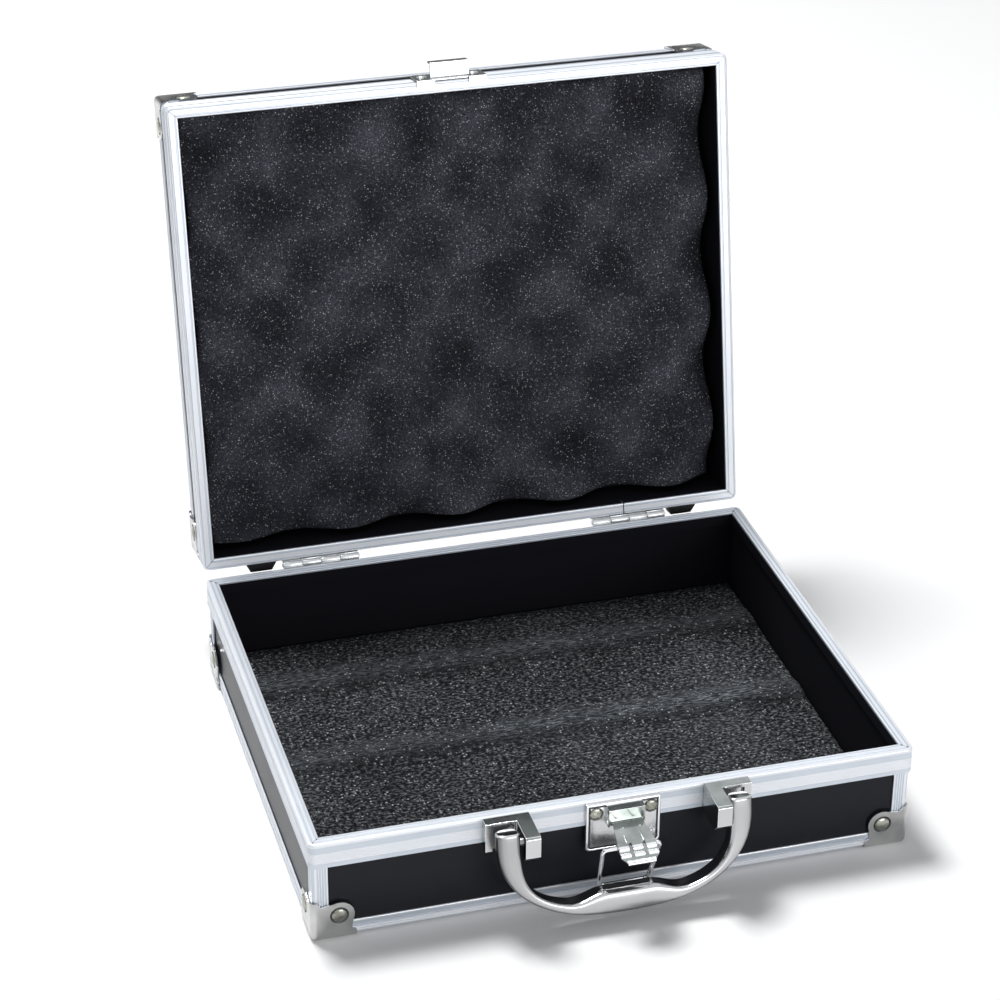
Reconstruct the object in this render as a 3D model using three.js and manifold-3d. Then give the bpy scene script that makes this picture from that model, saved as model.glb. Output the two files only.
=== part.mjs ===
// Small aluminium-framed carrying case, shown open. Millimetres, +Z up, front (handle side) towards -Y.
import * as THREE from "three";
import { RoundedBoxGeometry } from "three/addons/geometries/RoundedBoxGeometry.js";
import { mergeVertices } from "three/addons/utils/BufferGeometryUtils.js";
import Module from "manifold-3d";

const wasm = await Module();
wasm.setup();

// Case shell
const caseWidth = 280;
const caseDepth = 232;
const baseHeight = 52;
const lidHeight = 36;
const rimGap = 0.6;
const openAngle = 101;
const fitGap = 0.3;
const wallThickness = 2.2;
const floorThickness = 3;

// Rim profile that runs round the mouth of each half
const rimHeight = 12.5;
const rimLeg = 2;
const rimInnerLeg = 0.9;
const rimInnerHeight = 7;
const rimWeb = 2.5;
const rimCornerRadius = 3.2;
const rimBeadRadius = 1.1;
const rimGroove = 0.45;
const ribCount = 6;
const ribPitch = 0.9;
const ribDepth = 0.28;
const ribBandTop = 4.9;
const seamWidth = 0.6;
const seamFromSide = 61.4;

// Corner posts and edge profiles
const trimThickness = 0.8;
const trimLeg = 7.2;
const trimRadius = 1.5;
const fluteCount = 3;
const fluteDepth = 0.2;

// Corner caps
const capThickness = 0.8;
const capLeg = 20.5;
const capLegWidth = 4.4;
const capLobeRadius = 6.8;
const capLobeAt = 12.8;
const capRivetRadius = 3.3;
const capRivetRise = 0.9;

// Foam
const padHeight = 6;
const padRidge = 1.6;
const padRidgeWidth = 9;
const padRidgePitch = 68;
const padRidgeFirst = 5;
const crateValley = 8;
const crateSwing = 14;
const cratePitchX = 56.5;
const cratePitchY = 59.1;
const crateTurn = 2.72;
const crateShiftX = 46.1;
const crateShiftY = 52;
const foamInset = 0.5;
const crateInset = 2.6;

// Hinges and stop feet
const hingeSetback = 2.4;
const hingeLength = 38.8;
const hingeFromSide = 59.2;
const hingeLeafHeight = 10.5;
const hingeLeafThickness = 0.8;
const knuckleCount = 4;
const knuckleRadius = 1.9;
const hingePinRadius = 0.8;
const hingePinGap = 0.1;
const footFromSide = 29.5;
const footWidth = 15.5;
const footHeight = 10;
const footTipWidth = 11;
const footTipHeight = 6;
const footReach = 3.6;
const footStopGap = 0.12;

// Handle and its brackets
const handleX = -1.4;
const bracketWidth = 20.9;
const bracketArm = 6.8;
const bracketHeight = 14.5;
const bracketWeb = 4.9;
const bracketReach = 19.6;
const bracketBevel = 0.9;
const bracketPocket = 2;
const bracketChin = 4;
const handlePivotOut = 12;
const handlePivotDrop = 6.4;
const handlePinRadius = 1.6;
const handlePinGap = 0.1;
const handleLean = 11;
const handleHalfWidth = 58.6;
const handleLegWidth = 10.6;
const handleDrop = 40.6;
const handleInnerDrop = 33.6;
const handleSwell = 5;
const handleSwellFlat = 10;
const handleSwellFade = 18;
const handleLegDepth = 8.4;
const handleGripDepth = 10.6;
const handleSideGap = 0.8;
const handleCapRise = 5.4;
const handleCapBevel = 1.4;

// Draw latch
const latchX = 1.4;
const plateWidth = 34.6;
const plateTop = 0.8;
const plateHeight = 24.8;
const plateStand = 2.2;
const sheet = 0.9;
const hoodWidth = 16.6;
const hoodDepth = 4.9;
const hoodTop = 1.8;
const hoodHeight = 5.9;
const cheekHeight = 9.6;
const leverPivotDrop = 9.4;
const leverPinRadius = 1;
const leverPinGap = 0.1;
const leverRoll = 1.8;
const leverRest = 10;
const leverReach = 24.8;
const lipTurn = 14;
const leverNeck = 14;
const leverWidth = 17.4;
const bailArm = 15.6;
const bailWire = 1;
const curlWall = 0.85;
const curlGap = 0.35;
const curlCount = 3;
const curlSlot = 1.4;
const bailWidth = 26.4;
const bailFoot = 22.8;
const bailDrop = 28.4;
const bailLean = 21;
const bailShift = -1.9;
const latchRivetSpread = 12.7;
const latchRivetDrop = 5.9;
const latchRivetRadius = 2.8;

// Keeper on the lid
const keeperX = -0.4;
const keeperWidth = 35;
const keeperHeight = 14.5;
const keeperTabWidth = 9;
const keeperTabDepth = 3;
const keeperTabThickness = 0.55;
const hookWidth = 19.4;
const hookReach = 7.4;
const hookRise = 3.4;
const hookLip = 5;

// Derived places
const rimWidth = rimLeg + fitGap + wallThickness + fitGap + rimInnerLeg;
const skinInset = rimLeg + fitGap;
const trimInset = skinInset - fitGap - trimThickness;
const capInset = trimInset - fitGap - capThickness;
const trimZ = capThickness + fitGap;
const skinZ = trimZ + trimThickness + fitGap;
const floorZ = skinZ + floorThickness;
const capRadius = trimRadius + fitGap + capThickness;
const halfW = caseWidth / 2;
const halfD = caseDepth / 2;
const axisY = halfD + hingeSetback;
const axisZ = baseHeight + rimGap / 2;
const bracketInner = handleHalfWidth - handleLegWidth - handleSideGap - bracketArm;
const seamX = halfW - seamFromSide;
const hingeCentre = halfW - hingeFromSide;
const footCentre = halfW - footFromSide;
const closedHeight = baseHeight + rimGap + lidHeight;
const frontY = -halfD - fitGap;
const radians = THREE.MathUtils.degToRad;

// Materials, one look per kind of piece
const looks = {
  aluminium: [0xd9dbe2, 0.35, 0.9],
  laminate: [0x1b1c22, 0.35, 0],
  chrome: [0xdadde0, 0.12, 1],
  nickel: [0xc6cac4, 0.2, 1],
  satin: [0xcfd0cf, 0.4, 0.9],
  steel: [0xb8bcbd, 0.3, 1],
  rubber: [0x17171a, 0.8, 0],
  padFoam: [0x2b2d2c, 0.95, 0],
  crateFoam: [0x26272d, 0.95, 0],
};
const group = new THREE.Group();

function keep(name, look, geometry) {
  const [colour, roughness, metalness] = looks[look];
  const material = new THREE.MeshStandardMaterial({ color: colour, roughness, metalness });
  const mesh = new THREE.Mesh(geometry, material);
  mesh.name = name;
  group.add(mesh);
}

// Turns a closed geometry into a solid that can be joined and cut.
function solid(geometry) {
  const bare = new THREE.BufferGeometry();
  bare.setAttribute("position", geometry.getAttribute("position").clone());
  if (geometry.index) bare.setIndex(geometry.index.clone());
  const merged = mergeVertices(bare, 1e-4);
  return new wasm.Manifold(
    new wasm.Mesh({
      numProp: 3,
      vertProperties: new Float32Array(merged.attributes.position.array),
      triVerts: new Uint32Array(merged.index.array),
    }),
  );
}

function geometryOf(made) {
  const mesh = made.getMesh();
  const geometry = new THREE.BufferGeometry();
  geometry.setAttribute("position", new THREE.BufferAttribute(new Float32Array(mesh.vertProperties), 3));
  geometry.setIndex(new THREE.BufferAttribute(new Uint32Array(mesh.triVerts), 1));
  return geometry;
}

function join(...geometries) {
  let made = solid(geometries[0]);
  for (const other of geometries.slice(1)) made = made.add(solid(other));
  return geometryOf(made);
}

function cut(geometry, ...tools) {
  let made = solid(geometry);
  for (const tool of tools) made = made.subtract(solid(tool));
  return geometryOf(made);
}

function meet(geometry, other) {
  return geometryOf(solid(geometry).intersect(solid(other)));
}

function flip(geometry) {
  const index = geometry.index.array;
  for (let i = 0; i < index.length; i += 3) [index[i + 1], index[i + 2]] = [index[i + 2], index[i + 1]];
  return geometry;
}

// Moves a geometry, and turns its faces round again where the matrix mirrors it.
function moved(geometry, matrix) {
  const made = geometry.index ? geometry.clone() : mergeVertices(bareOf(geometry), 1e-4);
  made.applyMatrix4(matrix);
  return matrix.determinant() < 0 ? flip(made) : made;
}

function bareOf(geometry) {
  const bare = new THREE.BufferGeometry();
  bare.setAttribute("position", geometry.getAttribute("position").clone());
  if (geometry.index) bare.setIndex(geometry.index.clone());
  return bare;
}

function signedVolume(points, index) {
  let sum = 0;
  for (let i = 0; i < index.length; i += 3) {
    const [a, b, c] = [points[index[i]], points[index[i + 1]], points[index[i + 2]]];
    sum += a.dot(new THREE.Vector3().crossVectors(b, c));
  }
  return sum;
}

function fromPoints(points, index) {
  const geometry = new THREE.BufferGeometry().setFromPoints(points);
  geometry.setIndex(index);
  return signedVolume(points, index) < 0 ? flip(geometry) : geometry;
}

// Skins rings of equal length; a closed run joins its last ring to its first, an open one gets two ends.
function skin(rings, closed) {
  const points = rings.flat();
  const n = rings[0].length;
  const index = [];
  const last = closed ? rings.length : rings.length - 1;
  for (let r = 0; r < last; r++) {
    const next = (r + 1) % rings.length;
    for (let k = 0; k < n; k++) {
      const [a, b] = [r * n + k, r * n + ((k + 1) % n)];
      const [c, d] = [next * n + k, next * n + ((k + 1) % n)];
      index.push(a, b, d, a, d, c);
    }
  }
  if (!closed) {
    const ends = [[0, true], [rings.length - 1, false]];
    for (const [r, first] of ends) {
      const middle = new THREE.Vector3();
      for (const p of rings[r]) middle.addScaledVector(p, 1 / n);
      points.push(middle);
      for (let k = 0; k < n; k++) {
        const [a, b] = [r * n + k, r * n + ((k + 1) % n)];
        if (first) index.push(points.length - 1, b, a);
        else index.push(points.length - 1, a, b);
      }
    }
  }
  return fromPoints(points, index);
}

function block(x0, x1, y0, y1, z0, z1) {
  const geometry = new THREE.BoxGeometry(Math.abs(x1 - x0), Math.abs(y1 - y0), Math.abs(z1 - z0));
  return geometry.translate((x0 + x1) / 2, (y0 + y1) / 2, (z0 + z1) / 2);
}

function rod(x0, x1, y, z, radius, sides = 16) {
  const geometry = new THREE.CylinderGeometry(radius, radius, Math.abs(x1 - x0), sides);
  return geometry.rotateZ(Math.PI / 2).translate((x0 + x1) / 2, y, z);
}

// Extrudes an outline of [u, v] pairs by a length, with u, v and the length laid on three axes.
function prism(outline, length, uAxis, vAxis, origin) {
  const shape = new THREE.Shape(outline.map(([u, v]) => new THREE.Vector2(u, v)));
  const geometry = new THREE.ExtrudeGeometry(shape, { depth: length, bevelEnabled: false, curveSegments: 6 });
  const along = new THREE.Vector3().crossVectors(uAxis, vAxis);
  const matrix = new THREE.Matrix4().makeBasis(uAxis, vAxis, along).setPosition(origin);
  return geometry.applyMatrix4(matrix);
}

// A turn about a line along X; a positive turn carries the front downwards.
function aboutLine(degrees, y, z) {
  const matrix = new THREE.Matrix4().makeTranslation(0, y, z);
  matrix.multiply(new THREE.Matrix4().makeRotationX(radians(degrees)));
  return matrix.multiply(new THREE.Matrix4().makeTranslation(0, -y, -z));
}

const X = new THREE.Vector3(1, 0, 0);
const Y = new THREE.Vector3(0, 1, 0);
const Z = new THREE.Vector3(0, 0, 1);

function arc(cx, cy, radius, from, to, steps) {
  const points = [];
  for (let i = 0; i <= steps; i++) {
    const angle = radians(from + ((to - from) * i) / steps);
    points.push([cx + radius * Math.cos(angle), cy + radius * Math.sin(angle)]);
  }
  return points;
}

// One level loop of the rim, set in from the rim's outer face.
function rimLoop(inset, z) {
  const radius = Math.max(rimCornerRadius - inset, 0.25);
  const [hx, hy] = [halfW - inset - radius, halfD - inset - radius];
  const corners = [[1, 1, 0], [-1, 1, 90], [-1, -1, 180], [1, -1, 270]];
  const loop = [];
  for (const [sx, sy, start] of corners) {
    for (const [x, y] of arc(sx * hx, sy * hy, radius, start, start + 90, 4)) loop.push(new THREE.Vector3(x, y, z));
  }
  return loop;
}

// Rim section as [inset, height over the mating face] pairs, from the outer foot round to the inner one.
function rimSection() {
  const section = [[0, -rimHeight]];
  for (let i = ribCount; i > 0; i--) {
    const z = -ribBandTop - i * ribPitch;
    section.push([0, z], [ribDepth, z + ribPitch / 2]);
  }
  section.push([0, -ribBandTop]);
  for (const [u, z] of arc(rimBeadRadius, -rimBeadRadius, rimBeadRadius, 180, 90, 3)) section.push([u, z]);
  const outerGroove = rimBeadRadius + 0.7;
  const innerGroove = rimWidth - rimInnerLeg - rimGroove;
  section.push([outerGroove - 0.2, 0], [outerGroove, -rimGroove]);
  section.push([outerGroove + 0.35, -rimGroove], [outerGroove + 0.5, -0.1]);
  section.push([innerGroove - 0.2, -0.1], [innerGroove, -rimGroove]);
  section.push([innerGroove + 0.3, -rimGroove], [innerGroove + 0.5, 0]);
  section.push([rimWidth - 0.25, 0], [rimWidth, -0.25], [rimWidth, -rimInnerHeight]);
  section.push([rimWidth - rimInnerLeg, -rimInnerHeight], [rimWidth - rimInnerLeg, -rimWeb]);
  section.push([rimLeg, -rimWeb], [rimLeg, -rimHeight]);
  return section;
}

function rimFrame(height) {
  const rings = rimSection().map(([inset, z]) => rimLoop(inset, height + z));
  return skin(rings, true);
}

// Floor and four walls of one half, standing on its outer skin at z = 0.
function shellPanels(height) {
  const top = height - rimWeb - fitGap;
  const inner = skinInset + wallThickness;
  const [ox, oy] = [halfW - skinInset, halfD - skinInset];
  const [ix, iy] = [halfW - inner - fitGap, halfD - inner - fitGap];
  const bevel = 0.6 * rimCornerRadius;
  const front = [[-ox + bevel, -oy], [ox - bevel, -oy], [ox, -oy + bevel], [ox, -oy + wallThickness]];
  front.push([-ox, -oy + wallThickness], [-ox, -oy + bevel]);
  const across = (outline) => prism(outline, top - skinZ, X, Y, new THREE.Vector3(0, 0, skinZ));
  const back = front.map(([x, y]) => [x, -y]);
  return {
    floor: block(-ix, ix, -iy, iy, skinZ, floorZ),
    front: across(front),
    back: across(back),
    left: block(-ox, -ox + wallThickness, -iy, iy, skinZ, top),
    right: block(ox - wallThickness, ox, -iy, iy, skinZ, top),
  };
}

// Fluted angle that covers an upright corner, as an outline of insets from its two outer faces.
function postOutline() {
  const run = trimLeg - trimRadius;
  const pitch = run / (fluteCount + 1);
  const outline = [[trimLeg, 0]];
  const flute = (at, swap) => {
    const points = [[at + 0.45, 0], [at, fluteDepth], [at - 0.45, 0]];
    return swap ? points.reverse().map(([a, b]) => [b, a]) : points;
  };
  for (let i = fluteCount; i > 0; i--) outline.push(...flute(trimRadius + i * pitch, false));
  outline.push(...arc(trimRadius, trimRadius, trimRadius, 270, 180, 3));
  for (let i = 1; i <= fluteCount; i++) outline.push(...flute(trimRadius + i * pitch, true));
  outline.push([0, trimLeg], [trimThickness, trimLeg], [trimThickness, trimThickness], [trimLeg, trimThickness]);
  return outline;
}

function cornerPost(sx, sy, height) {
  const outline = postOutline().map(([a, b]) => [sx * (halfW - trimInset - a), sy * (halfD - trimInset - b)]);
  const foot = capThickness + fitGap + trimRadius;
  const top = height - rimHeight - fitGap;
  return prism(outline, top - foot, X, Y, new THREE.Vector3(0, 0, foot));
}

// Angle that covers one long edge between two posts; inward points from the outer face into the case.
function edgeProfile(inward, half, run) {
  const bite = fluteDepth;
  const outline = [[0, trimRadius], [0, trimLeg * 0.42], [bite, trimLeg * 0.47], [0, trimLeg * 0.52]];
  outline.push([0, trimLeg], [trimThickness, trimLeg], [trimThickness, trimThickness]);
  outline.push([trimLeg, trimThickness], [trimLeg, 0], ...arc(trimRadius, trimRadius, trimRadius, 270, 210, 2));
  const along = new THREE.Vector3().crossVectors(inward, Z);
  const length = 2 * (run - trimInset - trimLeg - fitGap);
  const origin = new THREE.Vector3(0, 0, trimZ);
  origin.addScaledVector(inward, -(half - trimInset)).addScaledVector(along, -length / 2);
  return prism(outline, length, inward, Z, origin);
}

// Outline of one leaf of a corner cap: two legs along the edges and a round lobe for the rivet.
function leafOutline(reach, rise) {
  const lobeV = Math.min(capLobeAt, rise - capLobeRadius - fitGap);
  const dip = THREE.MathUtils.clamp((capLegWidth + 1.2 - lobeV) / capLobeRadius, -0.35, 0.9);
  const start = THREE.MathUtils.radToDeg(Math.asin(dip));
  const outline = [[-2, -2], [reach, -2], [reach, capLegWidth * 0.45], [reach - 1.2, capLegWidth * 0.85]];
  outline.push([reach - 2.4, capLegWidth + 0.5], ...arc(capLobeAt, lobeV, capLobeRadius, start, 110, 9));
  outline.push([capLegWidth + 0.5, rise - 2.4], [capLegWidth * 0.85, rise - 1.2]);
  outline.push([capLegWidth * 0.45, rise], [-2, rise]);
  return { outline, lobeV };
}

function rivetDome(radius, rise, sink) {
  const profile = [[0, -sink], [radius, -sink], [radius, rise * 0.35], [radius * 0.72, rise * 0.8], [0, rise]];
  const geometry = new THREE.LatheGeometry(profile.map(([r, h]) => new THREE.Vector2(r, h)), 12);
  return fromLathe(geometry);
}

// A lathe's seam and its points on the axis are joined so that it closes.
function fromLathe(geometry) {
  const merged = mergeVertices(bareOf(geometry), 1e-4);
  const position = merged.attributes.position;
  const points = [];
  for (let i = 0; i < position.count; i++) points.push(new THREE.Vector3().fromBufferAttribute(position, i));
  const index = [];
  const source = merged.index.array;
  for (let i = 0; i < source.length; i += 3) {
    const [a, b, c] = [source[i], source[i + 1], source[i + 2]];
    if (a !== b && b !== c && c !== a) index.push(a, b, c);
  }
  return fromPoints(points, index);
}

// Three-leaf cap in its own corner frame, where its three outer faces are the three zero planes.
function capSolid(rise) {
  const size = 4 * capLeg;
  const outer = new RoundedBoxGeometry(size, size, size, 2, capRadius);
  outer.translate(size / 2, size / 2, size / 2);
  const inner = new RoundedBoxGeometry(size, size, size, 2, capRadius - capThickness);
  inner.translate(size / 2 + capThickness, size / 2 + capThickness, size / 2 + capThickness);
  const deep = capRadius + capThickness;
  const flat = leafOutline(capLeg, capLeg);
  const wall = leafOutline(capLeg, rise);
  const under = prism(flat.outline, deep + 1, X, Y, new THREE.Vector3(0, 0, -1));
  const front = prism(wall.outline, deep + 1, X, Z, new THREE.Vector3(0, deep, 0));
  const side = prism(wall.outline, deep + 1, Y, Z, new THREE.Vector3(-1, 0, 0));
  const leaves = join(under, front, side);
  const bare = meet(cut(outer, inner), leaves);
  const dome = rivetDome(capRivetRadius, capRivetRise, capThickness * 0.5);
  const onFront = dome.clone().rotateX(Math.PI).translate(capLobeAt, 0, wall.lobeV);
  const onSide = dome.clone().rotateZ(Math.PI / 2).translate(0, capLobeAt, wall.lobeV);
  return join(bare, onFront, onSide);
}

function cornerCap(cap, sx, sy) {
  const matrix = new THREE.Matrix4().makeScale(-sx, -sy, 1);
  matrix.setPosition(sx * (halfW - capInset), sy * (halfD - capInset), 0);
  return moved(cap, matrix);
}

// A pad with a flat underside and a top that follows a height function.
function padSolid(nx, ny, hx, hy, bottom, top) {
  const points = [];
  for (let j = 0; j <= ny; j++) {
    for (let i = 0; i <= nx; i++) {
      const [x, y] = [-hx + (2 * hx * i) / nx, -hy + (2 * hy * j) / ny];
      points.push(new THREE.Vector3(x, y, top(x, y)));
    }
  }
  const at = (i, j) => j * (nx + 1) + i;
  const index = [];
  for (let j = 0; j < ny; j++) {
    for (let i = 0; i < nx; i++) {
      index.push(at(i, j), at(i + 1, j), at(i + 1, j + 1), at(i, j), at(i + 1, j + 1), at(i, j + 1));
    }
  }
  const edge = [];
  for (let i = 0; i < nx; i++) edge.push(at(i, 0));
  for (let j = 0; j < ny; j++) edge.push(at(nx, j));
  for (let i = nx; i > 0; i--) edge.push(at(i, ny));
  for (let j = ny; j > 0; j--) edge.push(at(0, j));
  const first = points.length;
  for (const k of edge) points.push(new THREE.Vector3(points[k].x, points[k].y, bottom));
  points.push(new THREE.Vector3(0, 0, bottom));
  for (let k = 0; k < edge.length; k++) {
    const next = (k + 1) % edge.length;
    index.push(edge[k], first + k, first + next, edge[k], first + next, edge[next]);
    index.push(points.length - 1, first + next, first + k);
  }
  return fromPoints(points, index);
}

const foamHalf = (half, inset) => half - rimWidth - inset;

// The lower pad lies flat, with shallow rolls across it that run left to right.
function basePad() {
  const [hx, hy] = [foamHalf(halfW, foamInset), foamHalf(halfD, foamInset)];
  const bottom = floorZ + fitGap;
  const top = (x, y) => {
    let height = bottom + padHeight;
    for (const centre of [padRidgeFirst, padRidgeFirst + padRidgePitch]) {
      height += padRidge * Math.exp(-(((y - centre) / padRidgeWidth) ** 2));
    }
    const edge = Math.min(hx - Math.abs(x), hy - Math.abs(y));
    return height - 1.2 * Math.exp(-edge / 1.5);
  };
  return padSolid(10, 42, hx, hy, bottom, top);
}

// Egg-crate pad of the lid, in the frame of the shut lid seen from below.
function lidPad() {
  const [hx, hy] = [foamHalf(halfW, crateInset), foamHalf(halfD, crateInset)];
  const bottom = floorZ + fitGap;
  const [c, s] = [Math.cos(radians(crateTurn)), Math.sin(radians(crateTurn))];
  const top = (x, y) => {
    const [u, v] = [x * c + y * s - crateShiftX, x * s - y * c - crateShiftY];
    const wave = Math.cos((2 * Math.PI * u) / cratePitchX) * Math.cos((2 * Math.PI * v) / cratePitchY);
    const edge = Math.min(hx - Math.abs(x), hy - Math.abs(y));
    return bottom + crateValley + crateSwing * (0.5 + 0.5 * wave) - 1.2 * Math.exp(-edge / 1.5);
  };
  return padSolid(34, 29, hx, hy, bottom, top);
}

// A hinge leaf of the base half: a plate on the rim and every second knuckle round the axis.
function hingeLeaf(centre) {
  const [y0, y1] = [halfD + fitGap, halfD + fitGap + hingeLeafThickness];
  const [x0, pitch] = [centre - hingeLength / 2, hingeLength / knuckleCount];
  const plateTopZ = axisZ - knuckleRadius - fitGap;
  const parts = [block(x0, x0 + hingeLength, y0, y1, axisZ - hingeLeafHeight, plateTopZ)];
  const bores = [];
  for (let i = 0; i < knuckleCount; i += 2) {
    const [a, b] = [x0 + i * pitch + fitGap / 2, x0 + (i + 1) * pitch - fitGap / 2];
    parts.push(block(a, b, y0, y1, plateTopZ - 1, axisZ));
    parts.push(rod(a, b, axisY, axisZ, knuckleRadius, 18));
  }
  bores.push(rod(x0 - 1, x0 + hingeLength + 1, axisY, axisZ, hingePinRadius + hingePinGap));
  return cut(join(...parts), ...bores);
}

function lidLeaf(centre) {
  const turn = new THREE.Matrix4().makeTranslation(centre, 0, axisZ);
  turn.multiply(new THREE.Matrix4().makeRotationY(Math.PI));
  turn.multiply(new THREE.Matrix4().makeTranslation(-centre, 0, -axisZ));
  return moved(hingeLeaf(centre), turn);
}

// Tapered rubber foot on the back of a rim; the two rows meet and stop the lid at the open angle.
function stopFoot(centre) {
  const tipTop = axisZ - footReach;
  const tipY = axisY + footReach * Math.tan(radians((180 - openAngle) / 2)) - footStopGap;
  const rootTop = tipTop + (footHeight - footTipHeight) / 2;
  const ring = (y, width, top, height) => [
    new THREE.Vector3(centre - width / 2, y, top - height),
    new THREE.Vector3(centre + width / 2, y, top - height),
    new THREE.Vector3(centre + width / 2, y, top),
    new THREE.Vector3(centre - width / 2, y, top),
  ];
  const root = ring(halfD + fitGap, footWidth, rootTop, footHeight);
  return skin([root, ring(tipY, footTipWidth, tipTop, footTipHeight)], false);
}

const pivotY = -halfD - handlePivotOut;
const pivotZ = baseHeight - handlePivotDrop;

// Place of one half of the handle's set, mirrored for the left side.
function handleSide(side) {
  return new THREE.Matrix4().makeTranslation(handleX, 0, 0).scale(new THREE.Vector3(side, 1, 1));
}

// Handle bracket: a web on the rim, one arm beside the handle's leg, and a pocket for the leg's head.
function handleBracket(side) {
  const [top, foot] = [baseHeight, baseHeight - bracketHeight];
  const nose = frontY - bracketReach;
  const arm = [[frontY, foot], [frontY, top], [nose + bracketBevel, top], [nose, top - bracketBevel]];
  arm.push([nose, foot + bracketChin], [nose + bracketChin, foot]);
  const [x0, x1] = [bracketInner, bracketInner + bracketWidth];
  const webFace = frontY - bracketWeb;
  const web = block(x0, x1, webFace, frontY, foot, top);
  const made = join(web, prism(arm, bracketArm, Y, Z, new THREE.Vector3(x0, 0, 0)));
  const innerEnd = x0 + bracketArm;
  const pocket = block(innerEnd + 0.3, x1 - 3.4, webFace - 1, webFace + bracketPocket, foot - 1, top - 1.8);
  const bore = rod(x0 + 1.6, innerEnd + 1, pivotY, pivotZ, handlePinRadius + handlePinGap);
  return moved(cut(made, pocket, bore), handleSide(side));
}

function handlePin(side) {
  const [a, b] = [bracketInner + 1.8, handleHalfWidth - 3.4];
  return moved(rod(a, b, pivotY, pivotZ, handlePinRadius), handleSide(side));
}

// Point of the handle's plane, out from the middle and down from the pivot, with the lean at rest.
function handlePoint(out, down, forward) {
  const [c, s] = [Math.cos(radians(handleLean)), Math.sin(radians(handleLean))];
  return new THREE.Vector3(out, pivotY - down * s - forward * c, pivotZ - down * c + forward * s);
}

function superArc(t, a, b, power) {
  const [c, s] = [Math.max(Math.cos(t), 0), Math.sin(t)];
  return [a * c ** (2 / power), b * s ** (2 / power)];
}

// Ring of the handle's bar between its outer and inner outline: flat inside, rounder outside.
function handleRing(outer, inner, depth, swell) {
  const ring = [];
  for (let k = 0; k < 16; k++) {
    const angle = (2 * Math.PI * (k + 0.5)) / 16;
    const [c, s] = [Math.cos(angle), Math.sin(angle)];
    const power = c > 0 ? 5 : 2.4;
    const p = 0.5 - 0.5 * swell * Math.sign(c) * Math.abs(c) ** (2 / power);
    const q = 0.5 * swell * Math.sign(s) * Math.abs(s) ** (2 / 3);
    const out = inner[0] + (outer[0] - inner[0]) * p;
    const down = inner[1] + (outer[1] - inner[1]) * p;
    ring.push(handlePoint(out, down, q * depth));
  }
  return ring;
}

function handle() {
  const legInner = handleHalfWidth - handleLegWidth;
  const rings = [];
  const half = [];
  const caps = [[-handleCapRise, 0.74], [-handleCapRise + handleCapBevel, 1], [-1, 1]];
  for (const [down, scale] of caps) {
    half.push(handleRing([handleHalfWidth, down], [legInner, down], handleLegDepth, scale));
  }
  const steps = 20;
  for (let i = 1; i <= steps; i++) {
    const t = ((Math.PI / 2) * i) / steps;
    const outer = superArc(t, handleHalfWidth, handleDrop, 2.3);
    const inner = superArc(t, legInner, handleInnerDrop, 3.3);
    const reach = THREE.MathUtils.clamp((inner[0] - handleSwellFlat) / handleSwellFade, 0, 1);
    inner[1] -= handleSwell * (0.5 + 0.5 * Math.cos(Math.PI * reach));
    const depth = handleLegDepth + (handleGripDepth - handleLegDepth) * Math.sin(t) ** 2;
    half.push(handleRing(outer, inner, depth, 1));
  }
  rings.push(...half);
  for (const ring of half.slice(0, -1).reverse()) rings.push(ring.map((p) => new THREE.Vector3(-p.x, p.y, p.z)));
  const bar = skin(rings, false);
  const reach = handlePinRadius + handlePinGap;
  const right = rod(legInner - 1, handleHalfWidth - 3.2, pivotY, pivotZ, reach);
  const left = rod(-legInner + 1, -handleHalfWidth + 3.2, pivotY, pivotZ, reach);
  return cut(bar, right, left).translate(handleX, 0, 0);
}

const plateFace = frontY - plateStand;
const leverY = plateFace - 2.2;
const leverZ = baseHeight - leverPivotDrop;

// Pressed latch plate with turned edges and the hood that carries the lever's pin.
function latchPlate() {
  const [x0, x1] = [latchX - plateWidth / 2, latchX + plateWidth / 2];
  const top = baseHeight - plateTop;
  const foot = top - plateHeight;
  const face = [[x0, top], [x1, top], [x1, foot + 2], ...arc(x1 - 2, foot + 2, 2, 0, -90, 3).slice(1)];
  face.push(...arc(x0 + 2, foot + 2, 2, 270, 180, 3), [x0, foot + 2]);
  const plate = prism(face, sheet, X, Z, new THREE.Vector3(0, plateFace + sheet, 0));
  const turned = [
    block(x0, x1, plateFace, frontY, top - sheet, top),
    block(x0, x0 + sheet, plateFace, frontY, foot + 3, top),
    block(x1 - sheet, x1, plateFace, frontY, foot + 3, top),
  ];
  const [h0, h1] = [latchX - hoodWidth / 2, latchX + hoodWidth / 2];
  const [hoodFace, hoodZ] = [plateFace - hoodDepth, baseHeight - hoodTop];
  const cheek = [[plateFace + 0.2, hoodZ - cheekHeight], [plateFace + 0.2, hoodZ], [hoodFace, hoodZ]];
  cheek.push([hoodFace, hoodZ - hoodHeight], [plateFace - 3.6, hoodZ - cheekHeight]);
  const hood = [
    prism(cheek, sheet, Y, Z, new THREE.Vector3(h0, 0, 0)),
    prism(cheek, sheet, Y, Z, new THREE.Vector3(h1 - sheet, 0, 0)),
    block(h0, h1, hoodFace, plateFace + 0.2, hoodZ - sheet, hoodZ),
    block(h0, h1, hoodFace, hoodFace + sheet, hoodZ - hoodHeight, hoodZ),
  ];
  const bores = [rod(h0 - 1, h1 + 1, leverY, leverZ, leverPinRadius + leverPinGap)];
  for (const side of [-1, 1]) {
    const hole = new THREE.CylinderGeometry(1.7, 1.7, 6, 12);
    bores.push(hole.translate(latchX + side * latchRivetSpread, plateFace, baseHeight - latchRivetDrop));
  }
  return cut(join(plate, ...turned, ...hood), ...bores);
}

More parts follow.
